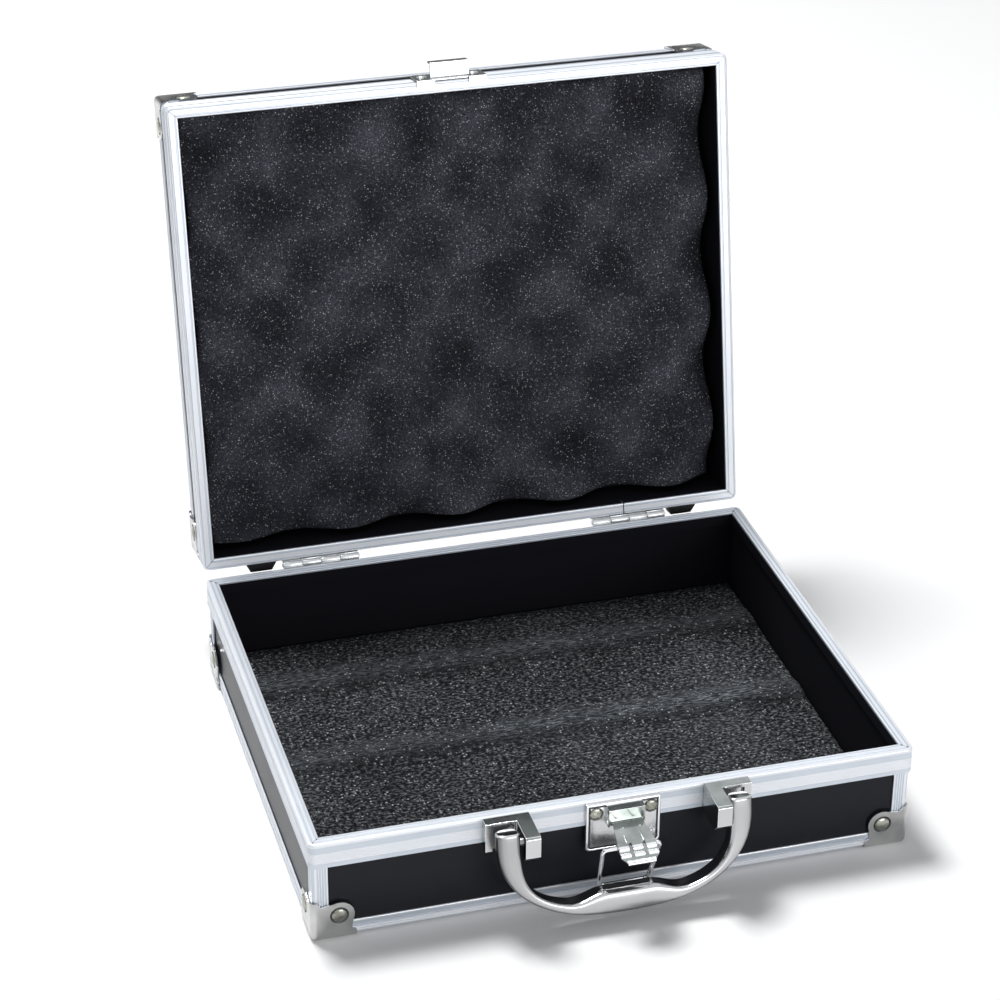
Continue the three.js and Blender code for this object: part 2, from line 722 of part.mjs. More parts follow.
function latchRivet(side) {
  const profile = [[0, -1.9], [1.4, -1.9], [1.4, 0.1], [latchRivetRadius, 0.1], [latchRivetRadius, 0.5]];
  profile.push([latchRivetRadius * 0.7, 0.95], [0, 1.15]);
  const geometry = fromLathe(new THREE.LatheGeometry(profile.map(([r, h]) => new THREE.Vector2(r, h)), 14));
  geometry.rotateX(Math.PI);
  return geometry.translate(latchX + side * latchRivetSpread, plateFace, baseHeight - latchRivetDrop);
}

function leverPin() {
  return rod(latchX - hoodWidth / 2 - 0.4, latchX + hoodWidth / 2 + 0.4, leverY, leverZ, leverPinRadius);
}

// The lever's own frame: s runs out along it from the pin, n is its outer face's side.
const leverAlong = new THREE.Vector3(0, -Math.cos(radians(leverRest)), -Math.sin(radians(leverRest)));
const leverUp = new THREE.Vector3(0, -Math.sin(radians(leverRest)), Math.cos(radians(leverRest)));
const leverAt = (x, s, n) =>
  new THREE.Vector3(x, leverY, leverZ).addScaledVector(leverAlong, s).addScaledVector(leverUp, n);
const curlRadius = bailWire + curlGap + curlWall;
const bailAxis = leverAt(0, bailArm, leverRoll - curlRadius);

function leverSheet(outline, low, high) {
  return prism(outline, high - low, X, leverAlong.clone().negate(), leverAt(latchX, 0, low));
}

function latchLever() {
  const half = leverWidth / 2;
  const neck = leverNeck / 2;
  const flat = [[-neck, -0.3], [neck, -0.3], [neck, -3.4], [half, -bailArm], [-half, -bailArm], [-neck, -3.4]];
  const lip = [[-half, -bailArm], [half, -bailArm], [half, -leverReach + 3], [half - 2.6, -leverReach]];
  lip.push([-half + 2.6, -leverReach], [-half, -leverReach + 3]);
  const bent = aboutLine(lipTurn, bailAxis.y, bailAxis.z);
  const parts = [
    rod(latchX - neck, latchX + neck, leverY, leverZ, leverRoll),
    leverSheet(flat, leverRoll - sheet, leverRoll),
    moved(leverSheet(lip, leverRoll - sheet - 0.9, leverRoll - 0.9), bent),
  ];
  const pitch = (leverWidth + curlSlot) / curlCount;
  for (let i = 0; i < curlCount; i++) {
    const x = latchX - half + i * pitch;
    parts.push(rod(x, x + pitch - curlSlot, bailAxis.y, bailAxis.z, curlRadius));
  }
  for (const side of [-1, 1]) {
    const rib = [[side * 3.9 - 0.4, -6], [side * 3.9 + 0.4, -6], [side * 3.9 + 0.4, -15], [side * 3.9 - 0.4, -15]];
    parts.push(leverSheet(rib, leverRoll - 0.2, leverRoll + 0.35));
  }
  const lipEnd = leverAt(latchX, leverReach - 0.2, leverRoll - 1.4).applyMatrix4(bent);
  parts.push(rod(latchX - half + 2.4, latchX + half - 2.4, lipEnd.y, lipEnd.z, 0.85, 8));
  const [x0, x1] = [latchX - leverWidth, latchX + leverWidth];
  const bore = rod(x0, x1, leverY, leverZ, leverPinRadius + leverPinGap);
  const eye = rod(x0, x1, bailAxis.y, bailAxis.z, bailWire + curlGap);
  return cut(join(...parts), bore, eye);
}

// Corners of a run of points rounded by short curves.
function rounded(points, radius, steps) {
  const path = [points[0]];
  for (let i = 1; i < points.length - 1; i++) {
    const [a, b, c] = [points[i - 1], points[i], points[i + 1]];
    const before = b.clone().sub(a).setLength(radius);
    const after = c.clone().sub(b).setLength(radius);
    const curve = new THREE.QuadraticBezierCurve3(b.clone().sub(before), b, b.clone().add(after));
    path.push(...curve.getPoints(steps));
  }
  path.push(points[points.length - 1]);
  return path;
}

// Wire of round section along a flat run of points.
function wire(points, normal, radius, sides) {
  const rings = points.map((point, i) => {
    const before = points[Math.max(i - 1, 0)];
    const after = points[Math.min(i + 1, points.length - 1)];
    const across = after.clone().sub(before).normalize().cross(normal);
    const ring = [];
    for (let k = 0; k < sides; k++) {
      const angle = (2 * Math.PI * k) / sides;
      const place = point.clone().addScaledVector(across, radius * Math.cos(angle));
      ring.push(place.addScaledVector(normal, radius * Math.sin(angle)));
    }
    return ring;
  });
  return skin(rings, false);
}

function latchBail() {
  const down = new THREE.Vector3(0, Math.sin(radians(bailLean)), -Math.cos(radians(bailLean)));
  const at = (x, drop) => new THREE.Vector3(latchX + x, bailAxis.y, bailAxis.z).addScaledVector(down, drop);
  const stub = leverWidth / 2 - 2.6;
  const [t0, t1] = [bailShift - bailWidth / 2, bailShift + bailWidth / 2];
  const [f0, f1] = [bailShift - bailFoot / 2, bailShift + bailFoot / 2];
  const run = [at(-stub, 0), at(t0, 0), at(f0, bailDrop), at(f1, bailDrop), at(t1, 0), at(stub, 0)];
  return wire(rounded(run, 2.6, 4), new THREE.Vector3().crossVectors(X, down), bailWire, 8);
}

// Keeper of the shut lid: a plate, two tabs under the rim and the hook that the bail draws on.
function latchKeeper() {
  const [x0, x1] = [keeperX - keeperWidth / 2, keeperX + keeperWidth / 2];
  const rimZ = baseHeight + rimGap;
  const tabTop = rimZ - (rimGap - keeperTabThickness) / 2;
  const tabFoot = tabTop - keeperTabThickness;
  const face = frontY - sheet;
  const plate = block(x0, x1, face, frontY, rimZ + 0.4, rimZ + keeperHeight);
  const parts = [plate];
  for (const [a, b] of [[x0, x0 + keeperTabWidth], [x1 - keeperTabWidth, x1]]) {
    parts.push(block(a, b, face, frontY, tabFoot, rimZ + 1));
    parts.push(block(a, b, face, -halfD + keeperTabDepth, tabFoot, tabTop));
  }
  const [h0, h1] = [keeperX - hookWidth / 2, keeperX + hookWidth / 2];
  const shelf = rimZ + hookRise;
  parts.push(block(h0, h1, face - hookReach, face + 0.2, shelf, shelf + sheet));
  parts.push(block(h0, h1, face - hookReach, face - hookReach + sheet, shelf, shelf + hookLip));
  for (const side of [-1, 1]) {
    const dome = rivetDome(2.6, 0.9, 0.4).rotateX(Math.PI);
    parts.push(dome.translate(keeperX + side * 12.9, face, rimZ + 8));
  }
  return join(...parts);
}

// Matrices that shut the lid's half over the base and swing it to the open angle.
const shut = new THREE.Matrix4().makeTranslation(0, 0, closedHeight);
shut.multiply(new THREE.Matrix4().makeRotationX(Math.PI));
const swing = aboutLine(-openAngle, axisY, axisZ);

// One half of the shell: panels, rim, posts, edge profiles and caps.
function half(prefix, skinName, height, capRise, place) {
  const panels = shellPanels(height);
  keep(prefix + "_" + skinName + "_panel", "laminate", place(panels.floor));
  const flipped = prefix === "lid";
  keep(prefix + "_front_panel", "laminate", place(flipped ? panels.back : panels.front));
  keep(prefix + "_back_panel", "laminate", place(flipped ? panels.front : panels.back));
  keep(prefix + "_left_panel", "laminate", place(panels.left));
  keep(prefix + "_right_panel", "laminate", place(panels.right));
  const frame = rimFrame(height);
  const hingeSide = flipped ? -1 : 1;
  const [near, far] = [halfD - rimWidth - 1, halfD + 1].map((v) => v * hingeSide);
  const [s0, s1] = [seamX - seamWidth / 2, seamX + seamWidth / 2];
  const seam = block(s0, s1, near, far, height - rimHeight - 1, height + 1);
  keep(prefix + "_rim_frame", "aluminium", place(flipped ? cut(frame, seam) : frame));
  const cap = capSolid(capRise);
  const edgeName = flipped ? "_top_edge_" : "_bottom_edge_";
  for (const [sx, xName] of [[-1, "left"], [1, "right"]]) {
    for (const [sy, yName] of [[-hingeSide, "front"], [hingeSide, "back"]]) {
      keep(prefix + "_corner_post_" + yName + "_" + xName, "aluminium", place(cornerPost(sx, sy, height)));
      keep(prefix + "_corner_cap_" + yName + "_" + xName, "nickel", place(cornerCap(cap, sx, sy)));
    }
    const inward = X.clone().multiplyScalar(-sx);
    keep(prefix + edgeName + xName, "aluminium", place(edgeProfile(inward, halfW, halfD)));
  }
  for (const [sy, yName] of [[-hingeSide, "front"], [hingeSide, "back"]]) {
    const inward = Y.clone().multiplyScalar(-sy);
    keep(prefix + edgeName + yName, "aluminium", place(edgeProfile(inward, halfD, halfW)));
  }
}

half("base", "bottom", baseHeight, capLeg, (geometry) => geometry);
const lidCapRise = Math.min(capLeg, lidHeight - rimHeight - fitGap - 0.5);
half("lid", "top", lidHeight, lidCapRise, (geometry) => moved(moved(geometry, shut), swing));
keep("base_foam_pad", "padFoam", basePad());
keep("lid_foam_crate", "crateFoam", moved(moved(lidPad(), shut), swing));

for (const [side, name] of [[-1, "left"], [1, "right"]]) {
  const centre = side * hingeCentre;
  keep("hinge_" + name + "_base_leaf", "steel", hingeLeaf(centre));
  keep("hinge_" + name + "_lid_leaf", "steel", moved(lidLeaf(centre), swing));
  const pinEnd = hingeLength / 2 + 0.4;
  keep("hinge_" + name + "_pin", "steel", rod(centre - pinEnd, centre + pinEnd, axisY, axisZ, hingePinRadius));
  const foot = stopFoot(side * footCentre);
  keep("base_back_foot_" + name, "rubber", foot);
  const over = new THREE.Matrix4().makeTranslation(0, 0, 2 * axisZ);
  over.multiply(new THREE.Matrix4().makeScale(1, 1, -1));
  keep("lid_back_foot_" + name, "rubber", moved(moved(foot, over), swing));
  keep("handle_bracket_" + name, "chrome", handleBracket(side));
  keep("handle_pin_" + name, "steel", handlePin(side));
  keep("latch_rivet_" + name, "nickel", latchRivet(side));
}
keep("handle", "satin", handle());
keep("latch_base_plate", "nickel", latchPlate());
keep("latch_lever_pin", "steel", leverPin());
keep("latch_lever", "chrome", latchLever());
keep("latch_bail", "steel", latchBail());
keep("latch_keeper", "nickel", moved(latchKeeper(), swing));

// The origin is under the middle of the whole open case, on the surface that it stands on.
const bounds = new THREE.Box3().setFromObject(group);
const middle = bounds.getCenter(new THREE.Vector3());
group.position.set(-middle.x, -middle.y, -bounds.min.z);

export default group;
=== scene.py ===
import math

import bmesh
import bpy
from mathutils import Matrix, Vector


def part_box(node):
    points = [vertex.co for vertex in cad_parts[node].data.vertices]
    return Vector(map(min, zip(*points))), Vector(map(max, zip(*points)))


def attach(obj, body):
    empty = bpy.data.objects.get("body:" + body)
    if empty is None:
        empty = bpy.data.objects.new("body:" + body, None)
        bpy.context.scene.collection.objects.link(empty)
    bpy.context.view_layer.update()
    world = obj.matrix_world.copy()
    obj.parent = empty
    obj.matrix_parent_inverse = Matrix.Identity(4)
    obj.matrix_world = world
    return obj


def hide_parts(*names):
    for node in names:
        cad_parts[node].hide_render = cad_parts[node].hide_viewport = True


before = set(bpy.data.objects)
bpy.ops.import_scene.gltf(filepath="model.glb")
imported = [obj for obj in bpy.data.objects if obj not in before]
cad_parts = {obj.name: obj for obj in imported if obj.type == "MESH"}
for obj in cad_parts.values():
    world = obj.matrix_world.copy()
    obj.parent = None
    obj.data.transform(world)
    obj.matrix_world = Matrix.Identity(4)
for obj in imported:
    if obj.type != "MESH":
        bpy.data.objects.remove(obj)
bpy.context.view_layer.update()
scene = bpy.context.scene
print("frame loaded,", len(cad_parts), "nodes")

# sizes of the case in millimetres, the same ones that its solids have
case = {
    "width": 280,
    "depth": 232,
    "baseHeight": 52,
    "lidHeight": 36,
    "rimGap": 0.6,
    "openAngle": 101,
    "hingeY": 118.4,
    "hingeZ": 52.3,
    "rimWidth": 5.7,
    "trimInset": 1.2,
    "capInset": 0.1,
}
halfWidth = case["width"] / 2
halfDepth = case["depth"] / 2

# baseFrame: base in millimetres, z up from its lowest face. swungFrame: shut lid's places, swung open.
# lidFrame: the lid as a tray of its own, z up from its outer skin to its mouth.
rimLow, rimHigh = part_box("base_rim_frame")
baseFrame = Matrix.Translation((0, (rimLow.y + rimHigh.y) / 2, 0)) @ Matrix.Scale(0.001, 4)
toHinge = Matrix.Translation((0, case["hingeY"], case["hingeZ"]))
swing = toHinge @ Matrix.Rotation(math.radians(-case["openAngle"]), 4, "X") @ toHinge.inverted()
shutHeight = case["baseHeight"] + case["rimGap"] + case["lidHeight"]
swungFrame = baseFrame @ swing
lidFrame = swungFrame @ Matrix.Translation((0, 0, shutHeight)) @ Matrix.Rotation(math.pi, 4, "X")


# ---- camera, floor and light

viewpoint = {
    "place": (-345.4, -1117.4, 793.2),
    "right": (0.961480, -0.274812, 0.005813),
    "down": (-0.129356, -0.471035, -0.872578),
    "ahead": (0.242534, 0.838215, -0.488440),
    "lens": 105.26,
}


def newObject(name, data):
    made = bpy.data.objects.new(name, data)
    scene.collection.objects.link(made)
    return made


def makeCamera():
    data = bpy.data.cameras.new("camera")
    data.lens = viewpoint["lens"]
    data.sensor_width = 36
    data.clip_start = 0.05
    data.clip_end = 60
    camera = newObject("camera", data)
    right = Vector(viewpoint["right"])
    up = -Vector(viewpoint["down"])
    back = -Vector(viewpoint["ahead"])
    turn = Matrix((right, up, back)).transposed().to_4x4()
    camera.matrix_world = Matrix.Translation(baseFrame @ Vector(viewpoint["place"])) @ turn
    scene.camera = camera


makeCamera()
scene.view_settings.view_transform = "Standard"


# ---- small helpers for node trees


def addNode(tree, kind, inputs=None, **settings):
    node = tree.nodes.new(kind)
    for key, value in settings.items():
        setattr(node, key, value)
    feed(tree, node, inputs or {})
    return node


def feed(tree, node, inputs):
    # a socket is linked, and any other value is set on the node's own socket
    for key, value in inputs.items():
        if isinstance(value, bpy.types.NodeSocket):
            tree.links.new(value, node.inputs[key])
        else:
            node.inputs[key].default_value = value


def calc(tree, operation, a, b=0.0, c=0.0):
    return addNode(tree, "ShaderNodeMath", {0: a, 1: b, 2: c}, operation=operation).outputs[0]


def newGroup(name, kind, inputs, outputs):
    # an input's default gives its kind, and one that is given as a kind has no default
    kinds = {float: "NodeSocketFloat", int: "NodeSocketInt"}
    tree = bpy.data.node_groups.new(name, kind)
    for label, default in inputs.items():
        socketType = default if isinstance(default, str) else kinds[type(default)]
        socket = tree.interface.new_socket(label, in_out="INPUT", socket_type=socketType)
        if socketType != default:
            socket.default_value = default
    for label, socketType in outputs.items():
        tree.interface.new_socket(label, in_out="OUTPUT", socket_type=socketType)
    source = tree.nodes.new("NodeGroupInput")
    return tree, source.outputs, tree.nodes.new("NodeGroupOutput")


# ---- shader groups that several finishes share


def makeGrainGroup():
    # fine drawn lines and broad clouding
    inputs = {"Vector": "NodeSocketVector", "Scale": 900.0, "Cloud Scale": 22.0}
    outputs = {"Lines": "NodeSocketFloat", "Clouds": "NodeSocketFloat"}
    tree, given, out = newGroup("drawnGrain", "ShaderNodeTree", inputs, outputs)
    drawn = {"Vector": given["Vector"], "Scale": given["Scale"], "Detail": 3.0, "Roughness": 0.6}
    broad = {"Vector": given["Vector"], "Scale": given["Cloud Scale"], "Detail": 2.0}
    for label, look in (("Lines", drawn), ("Clouds", broad)):
        feed(tree, out, {label: addNode(tree, "ShaderNodeTexNoise", look).outputs["Fac"]})
    return tree


def makeFleckGroup():
    # a few cell walls of the open foam catch the light, most of them faintly
    inputs = {"Vector": "NodeSocketVector", "Cell Scale": 900.0, "Fleck Share": 0.1, "Fleck Size": 0.3}
    tree, given, out = newGroup("foamCells", "ShaderNodeTree", inputs, {"Flecks": "NodeSocketFloat"})
    grid = {"Vector": given["Vector"], "Scale": given["Cell Scale"]}
    cells = addNode(tree, "ShaderNodeTexVoronoi", grid, feature="F1")
    split = addNode(tree, "ShaderNodeSeparateColor", {0: cells.outputs["Color"]})
    lucky = calc(tree, "LESS_THAN", split.outputs[0], given["Fleck Share"])
    near = calc(tree, "SUBTRACT", given["Fleck Size"], cells.outputs["Distance"])
    near = calc(tree, "MAXIMUM", calc(tree, "DIVIDE", near, given["Fleck Size"]), 0.0)
    fleck = calc(tree, "MULTIPLY", lucky, calc(tree, "POWER", near, 0.5))
    strength = calc(tree, "MULTIPLY_ADD", calc(tree, "POWER", split.outputs[1], 3.0), 0.88, 0.12)
    feed(tree, out, {"Flecks": calc(tree, "MULTIPLY", fleck, strength)})
    return tree


grainGroup = makeGrainGroup()
fleckGroup = makeFleckGroup()


def newMaterial(name):
    material = bpy.data.materials.new(name)
    material.use_nodes = True
    tree = material.node_tree
    shader = tree.nodes["Principled BSDF"]
    place = addNode(tree, "ShaderNodeTexCoord").outputs["Object"]
    return material, tree, shader, place


def mix(tree, factor, first, second, kind="RGBA"):
    node = addNode(tree, "ShaderNodeMix", {"Factor": factor, "A": first, "B": second}, data_type=kind)
    return node.outputs["Result"]


def spread(tree, value, low, high, fromLow=0.0, fromHigh=1.0):
    span = {"From Min": fromLow, "From Max": fromHigh, "To Min": low, "To Max": high}
    return addNode(tree, "ShaderNodeMapRange", {"Value": value, **span}).outputs["Result"]


def grained(tree, place, scale, clouds):
    inputs = {"Vector": place, "Scale": scale, "Cloud Scale": clouds}
    return addNode(tree, "ShaderNodeGroup", inputs, node_tree=grainGroup).outputs


def bumped(tree, height, strength, distance):
    inputs = {"Height": height, "Strength": strength, "Distance": distance}
    return addNode(tree, "ShaderNodeBump", inputs).outputs["Normal"]


def attributeOf(tree, name):
    return addNode(tree, "ShaderNodeAttribute", attribute_name=name).outputs["Fac"]


bumpDepth = {"metal": 0.00005, "laminate": 0.0001, "foam": 0.0004}


def metalMaterial(name, look):
    material, tree, shader, place = newMaterial(name)
    grain = grained(tree, place, look["scale"], look.get("clouds", 30))
    tone = spread(tree, grain["Clouds"], 0, 1, 0.25, 0.75)
    inputs = {
        "Base Color": mix(tree, tone, look["dark"], look["light"]),
        "Roughness": spread(tree, grain["Lines"], *look["rough"], 0.3, 0.7),
        "Metallic": look.get("metal", 1.0),
        "Normal": bumped(tree, grain["Lines"], look["bump"], bumpDepth["metal"]),
    }
    feed(tree, shader, inputs)
    return material


def foamMaterial(name, look):
    # the piece's attributes: crest is 0 in the hollows and 1 on the tops, and a second attribute marks the
    # fronts of ridges for painted shade
    material, tree, shader, place = newMaterial(name)
    broad = addNode(tree, "ShaderNodeTexNoise", {"Vector": place, "Scale": look["broad"], "Detail": 4.0})
    broad = broad.outputs["Fac"]
    tops = calc(tree, "MULTIPLY_ADD", attributeOf(tree, "crest"), look["rise"], look["start"])
    tops = calc(tree, "MULTIPLY_ADD", calc(tree, "SUBTRACT", broad, 0.5), look["patch"], tops)
    tops = calc(tree, "MINIMUM", calc(tree, "MAXIMUM", tops, 0.0), 1.0)
    masks = []
    for key in ("grain", "streak"):
        mapped = addNode(tree, "ShaderNodeMapping", {"Vector": place, "Scale": look[key]}).outputs[0]
        noise = addNode(tree, "ShaderNodeTexNoise", {"Vector": mapped, "Scale": 1000.0, "Detail": 2.0})
        mask = spread(tree, noise.outputs["Fac"], 0.0, 1.0, *look[key + "Range"])
        masks.append(calc(tree, "POWER", mask, look["depth"]))
    swapAt = calc(tree, "MULTIPLY", tops, look["combed"])
    strokes = mix(tree, swapAt, *masks, "FLOAT")
    strokes = calc(tree, "MULTIPLY", strokes, spread(tree, broad, *look["mottle"], 0.3, 0.7))
    low = mix(tree, strokes, look["dark"], look["mid"])
    # the crests take their own colours, which on the crate are lighter than the hollows, a painted highlight
    high = mix(tree, strokes, look["topDark"], look["topLight"])
    base = mix(tree, tops, low, high)
    # painted shade on the fronts of the pad's ridges
    shaded = calc(tree, "MULTIPLY", attributeOf(tree, "lee"), look["leeShade"])
    base = mix(tree, shaded, base, look["dark"])
    cells = {"Vector": place, "Cell Scale": look["cells"], "Fleck Size": look["size"]}
    cells["Fleck Share"] = spread(tree, tops, *look["share"])
    flecks = addNode(tree, "ShaderNodeGroup", cells, node_tree=fleckGroup).outputs["Flecks"]
    inputs = {
        "Base Color": mix(tree, flecks, base, look["fleck"]),
        "Roughness": 0.9,
        "Specular IOR Level": 0.1,
        "Normal": bumped(tree, strokes, look["bump"], bumpDepth["foam"]),
    }
    feed(tree, shader, inputs)
    return material


def laminateMaterial(name, look):
    material, tree, shader, place = newMaterial(name)
    grain = grained(tree, place, look["scale"], 14)
    inputs = {
        "Base Color": mix(tree, grain["Clouds"], look["dark"], look["light"]),
        "Roughness": spread(tree, grain["Clouds"], *look["rough"]),
        "Specular IOR Level": look["gloss"],
        "Normal": bumped(tree, grain["Lines"], look["bump"], bumpDepth["laminate"]),
    }
    feed(tree, shader, inputs)
    return material


finishes = {
    "aluminium": {
        "dark": (0.58, 0.63, 0.70, 1), "light": (0.66, 0.71, 0.78, 1), "metal": 0.55,
        "rough": (0.34, 0.44), "scale": 1500, "bump": 0.03,
    },
    # painted highlight: a lighter copy of the aluminium for the faces that catch the light
    "paintedHighlightAluminium": {
        "dark": (0.80, 0.83, 0.88, 1), "light": (0.86, 0.88, 0.92, 1), "metal": 0.4,
        "rough": (0.30, 0.40), "scale": 1500, "bump": 0.03,
    },
    # dark joints between parts, and painted shade in the cap dishes, the plate's groove, the rings round the
    # latch rivets and the keeper's ends
    "seamAndShadeDark": {
        "dark": (0.05, 0.05, 0.06, 1), "light": (0.09, 0.09, 0.10, 1), "metal": 0.7,
        "rough": (0.4, 0.5), "scale": 1500, "bump": 0.03,
    },
    "nickel": {
        "dark": (0.38, 0.38, 0.38, 1), "light": (0.64, 0.64, 0.63, 1), "rough": (0.16, 0.26),
        "scale": 1200, "clouds": 75, "bump": 0.04,
    },
    # the latch plate's and keeper's own nickel, and a painted highlight on the handle's end bevels and the
    # brackets' front faces
    "plateNickelAndHighlight": {
        "dark": (0.56, 0.56, 0.57, 1), "light": (0.64, 0.64, 0.65, 1), "rough": (0.20, 0.28),
        "scale": 1200, "clouds": 40, "bump": 0.03,
    },
    # painted shade: a darker copy of the chrome for the broad faces of brackets, hood, lever and handle ends
    "shadeChrome": {
        "dark": (0.28, 0.30, 0.29, 1), "light": (0.50, 0.53, 0.51, 1), "clouds": 90,
        "rough": (0.12, 0.18), "scale": 900, "bump": 0.02,
    },
    # real chrome for the bail and pins, and a painted highlight on the rounded and sheared edges of other
    # parts and on the lever's hook lines and curls
    "chrome": {
        "dark": (0.86, 0.87, 0.89, 1), "light": (0.95, 0.95, 0.96, 1), "clouds": 90,
        "rough": (0.10, 0.16), "scale": 900, "bump": 0.02,
    },
    "zinc": {
        "dark": (0.55, 0.56, 0.56, 1), "light": (0.68, 0.69, 0.69, 1), "rough": (0.26, 0.38),
        "scale": 1000, "bump": 0.08,
    },
    "oliveRivet": {
        "dark": (0.20, 0.20, 0.17, 1), "light": (0.46, 0.46, 0.40, 1), "rough": (0.22, 0.32),
        "clouds": 160, "scale": 800, "bump": 0.05,
    },
    "crateFoam": {
        "dark": (0.012, 0.012, 0.016, 1), "mid": (0.040, 0.041, 0.053, 1),
        "topDark": (0.030, 0.031, 0.041, 1), "topLight": (0.108, 0.113, 0.140, 1),
        "fleck": (1.0, 1.0, 1.0, 1), "cells": 1300, "share": (0.26, 0.42), "size": 0.42, "broad": 42,
        "patch": 2.2, "mottle": (0.9, 1.1), "rise": 0.55, "start": 0.12, "grain": (1.1, 1.1, 1.1),
        "grainRange": (0.3, 0.72), "streak": (1, 1, 1), "streakRange": (0.3, 0.7), "combed": 0.0,
        "depth": 1.0, "bump": 0.3, "leeShade": 0.55,
    },
    "padFoam": {
        "dark": (0.006, 0.006, 0.008, 1), "mid": (0.345, 0.37, 0.395, 1),
        "topDark": (0.012, 0.013, 0.015, 1), "topLight": (0.31, 0.335, 0.365, 1),
        "fleck": (0.68, 0.71, 0.73, 1), "cells": 760, "share": (0.34, 0.2), "size": 0.42, "broad": 16,
        "patch": 0.9, "mottle": (0.55, 1.2), "rise": 0.85, "start": 0.02, "grain": (0.52, 0.8, 0.8),
        "grainRange": (0.42, 0.82), "streak": (0.28, 1.5, 1.5), "streakRange": (0.36, 0.80),
        "combed": 1.0, "depth": 1.7, "bump": 0.5, "leeShade": 0.55,
    },
    "laminate": {
        "dark": (0.014, 0.015, 0.019, 1), "light": (0.019, 0.020, 0.025, 1), "rough": (0.24, 0.34),
        "scale": 700, "gloss": 0.1, "bump": 0.05,
    },
    "lining": {
        "dark": (0.005, 0.005, 0.008, 1), "light": (0.009, 0.009, 0.013, 1), "rough": (0.7, 0.85),
        "scale": 1600, "gloss": 0.1, "bump": 0.25,
    },
    "rubber": {
        "dark": (0.008, 0.008, 0.009, 1), "light": (0.020, 0.020, 0.022, 1), "rough": (0.6, 0.8),
        "scale": 900, "gloss": 0.3, "bump": 0.3,
    },
}
aluminium = metalMaterial("satinAluminium", finishes["aluminium"])
paintedHighlightAluminium = metalMaterial("paintedHighlightAluminium", finishes["paintedHighlightAluminium"])
seamAndShadeDark = metalMaterial("seamAndShadeDark", finishes["seamAndShadeDark"])
nickel = metalMaterial("platedNickel", finishes["nickel"])
plateNickelAndHighlight = metalMaterial("plateNickelAndHighlight", finishes["plateNickelAndHighlight"])
shadeChrome = metalMaterial("shadeChrome", finishes["shadeChrome"])
chrome = metalMaterial("brightChromeAndHighlight", finishes["chrome"])
zinc = metalMaterial("zincSteel", finishes["zinc"])
oliveRivet = metalMaterial("oliveRivet", finishes["oliveRivet"])
crateFoam = foamMaterial("crateFoam", finishes["crateFoam"])
padFoam = foamMaterial("padFoam", finishes["padFoam"])
laminate = laminateMaterial("blackLaminate", finishes["laminate"])
lining = laminateMaterial("blackLining", finishes["lining"])
rubber = laminateMaterial("blackRubber", finishes["rubber"])


def handleMaterial():
    # satin outer face, a polished inner band and painted shade on the sides, told apart by the piece's own
    # attributes
    look = {
        "rough": (0.32, 0.09),
        "dark": (0.43, 0.43, 0.44, 1),
        "light": (0.50, 0.50, 0.51, 1),
        "turned": (0.09, 0.09, 0.10, 1),
    }
    material, tree, shader, place = newMaterial("handleMetal")
    grain = grained(tree, place, 1300, 22)
    satin = mix(tree, spread(tree, grain["Clouds"], 0, 1, 0.35, 0.65), look["dark"], look["light"])
    inputs = {
        "Base Color": mix(tree, attributeOf(tree, "turned"), satin, look["turned"]),
        "Roughness": spread(tree, attributeOf(tree, "polish"), *look["rough"]),
        "Metallic": 1.0,
        "Normal": bumped(tree, grain["Lines"], 0.04, bumpDepth["metal"]),
    }
    feed(tree, shader, inputs)
    return material


handleMetal = handleMaterial()
print("materials made")


# ---- mesh helpers


def newPiece(name, points, faces, place, material, sharp=35):
    mesh = bpy.data.meshes.new(name)
    mesh.from_pydata([place @ Vector(point) for point in points], [], faces)
    mesh.materials.append(material)
    piece = newObject(name, mesh)
    faceOut(piece, sharp)
    return piece


def faceOut(piece, sharp=35):
    made = bmesh.new()
    made.from_mesh(piece.data)
    bmesh.ops.remove_doubles(made, verts=made.verts, dist=1e-6)
    bmesh.ops.recalc_face_normals(made, faces=made.faces)
    made.to_mesh(piece.data)
    made.free()
    smooth(piece, sharp)


def smooth(piece, sharp=35):
    piece.data.shade_smooth()
    piece.data.set_sharp_from_angle(angle=math.radians(sharp))


def settle(piece):
    # keeps the modifiers' result as a plain mesh
    bpy.context.view_layer.update()
    shown = piece.evaluated_get(bpy.context.evaluated_depsgraph_get())
    mesh = bpy.data.meshes.new_from_object(shown)
    piece.modifiers.clear()
    old = piece.data
    piece.data = mesh
    bpy.data.meshes.remove(old)
    return piece


def rounded(piece, width, segments=2, angle=30, sharp=35, edge=None):
    # edge is a second material for the rounded edges, a painted highlight on most pieces and painted shade on
    # the keeper, and broad faces stay flat
    bevel = piece.modifiers.new("roundEdges", "BEVEL")
    if edge:
        piece.data.materials.append(edge)
        bevel.material = 1
    bevel.width = width * 0.001
    bevel.segments = segments
    bevel.limit_method = "ANGLE"
    bevel.angle_limit = math.radians(angle)
    bevel.use_clamp_overlap = True
    settle(piece)
    smooth(piece, sharp)
    for face in piece.data.polygons if edge else ():
        face.use_smooth = face.material_index == 1 or (face.area < 6e-6 and len(face.vertices) < 5)
    return piece


def carve(piece, tool, operation):
    step = piece.modifiers.new("carve", "BOOLEAN")
    step.operation = operation
    step.solver = "EXACT"
    step.object = tool
    settle(piece)
    mesh = tool.data
    bpy.data.objects.remove(tool)
    bpy.data.meshes.remove(mesh)
    return piece


def skin(rings, closed):
    # faces between rings of equal length, with an end face on each open end
    points = [point for ring in rings for point in ring]
    count = len(rings[0])
    faces = []
    for r in range(len(rings) if closed else len(rings) - 1):
        here, there = r * count, ((r + 1) % len(rings)) * count
        for k in range(count):
            n = (k + 1) % count
            faces.append((here + k, here + n, there + n, there + k))
    if not closed:
        faces.append(tuple(range(count)))
        faces.append(tuple(range(len(points) - count, len(points))))
    return points, faces


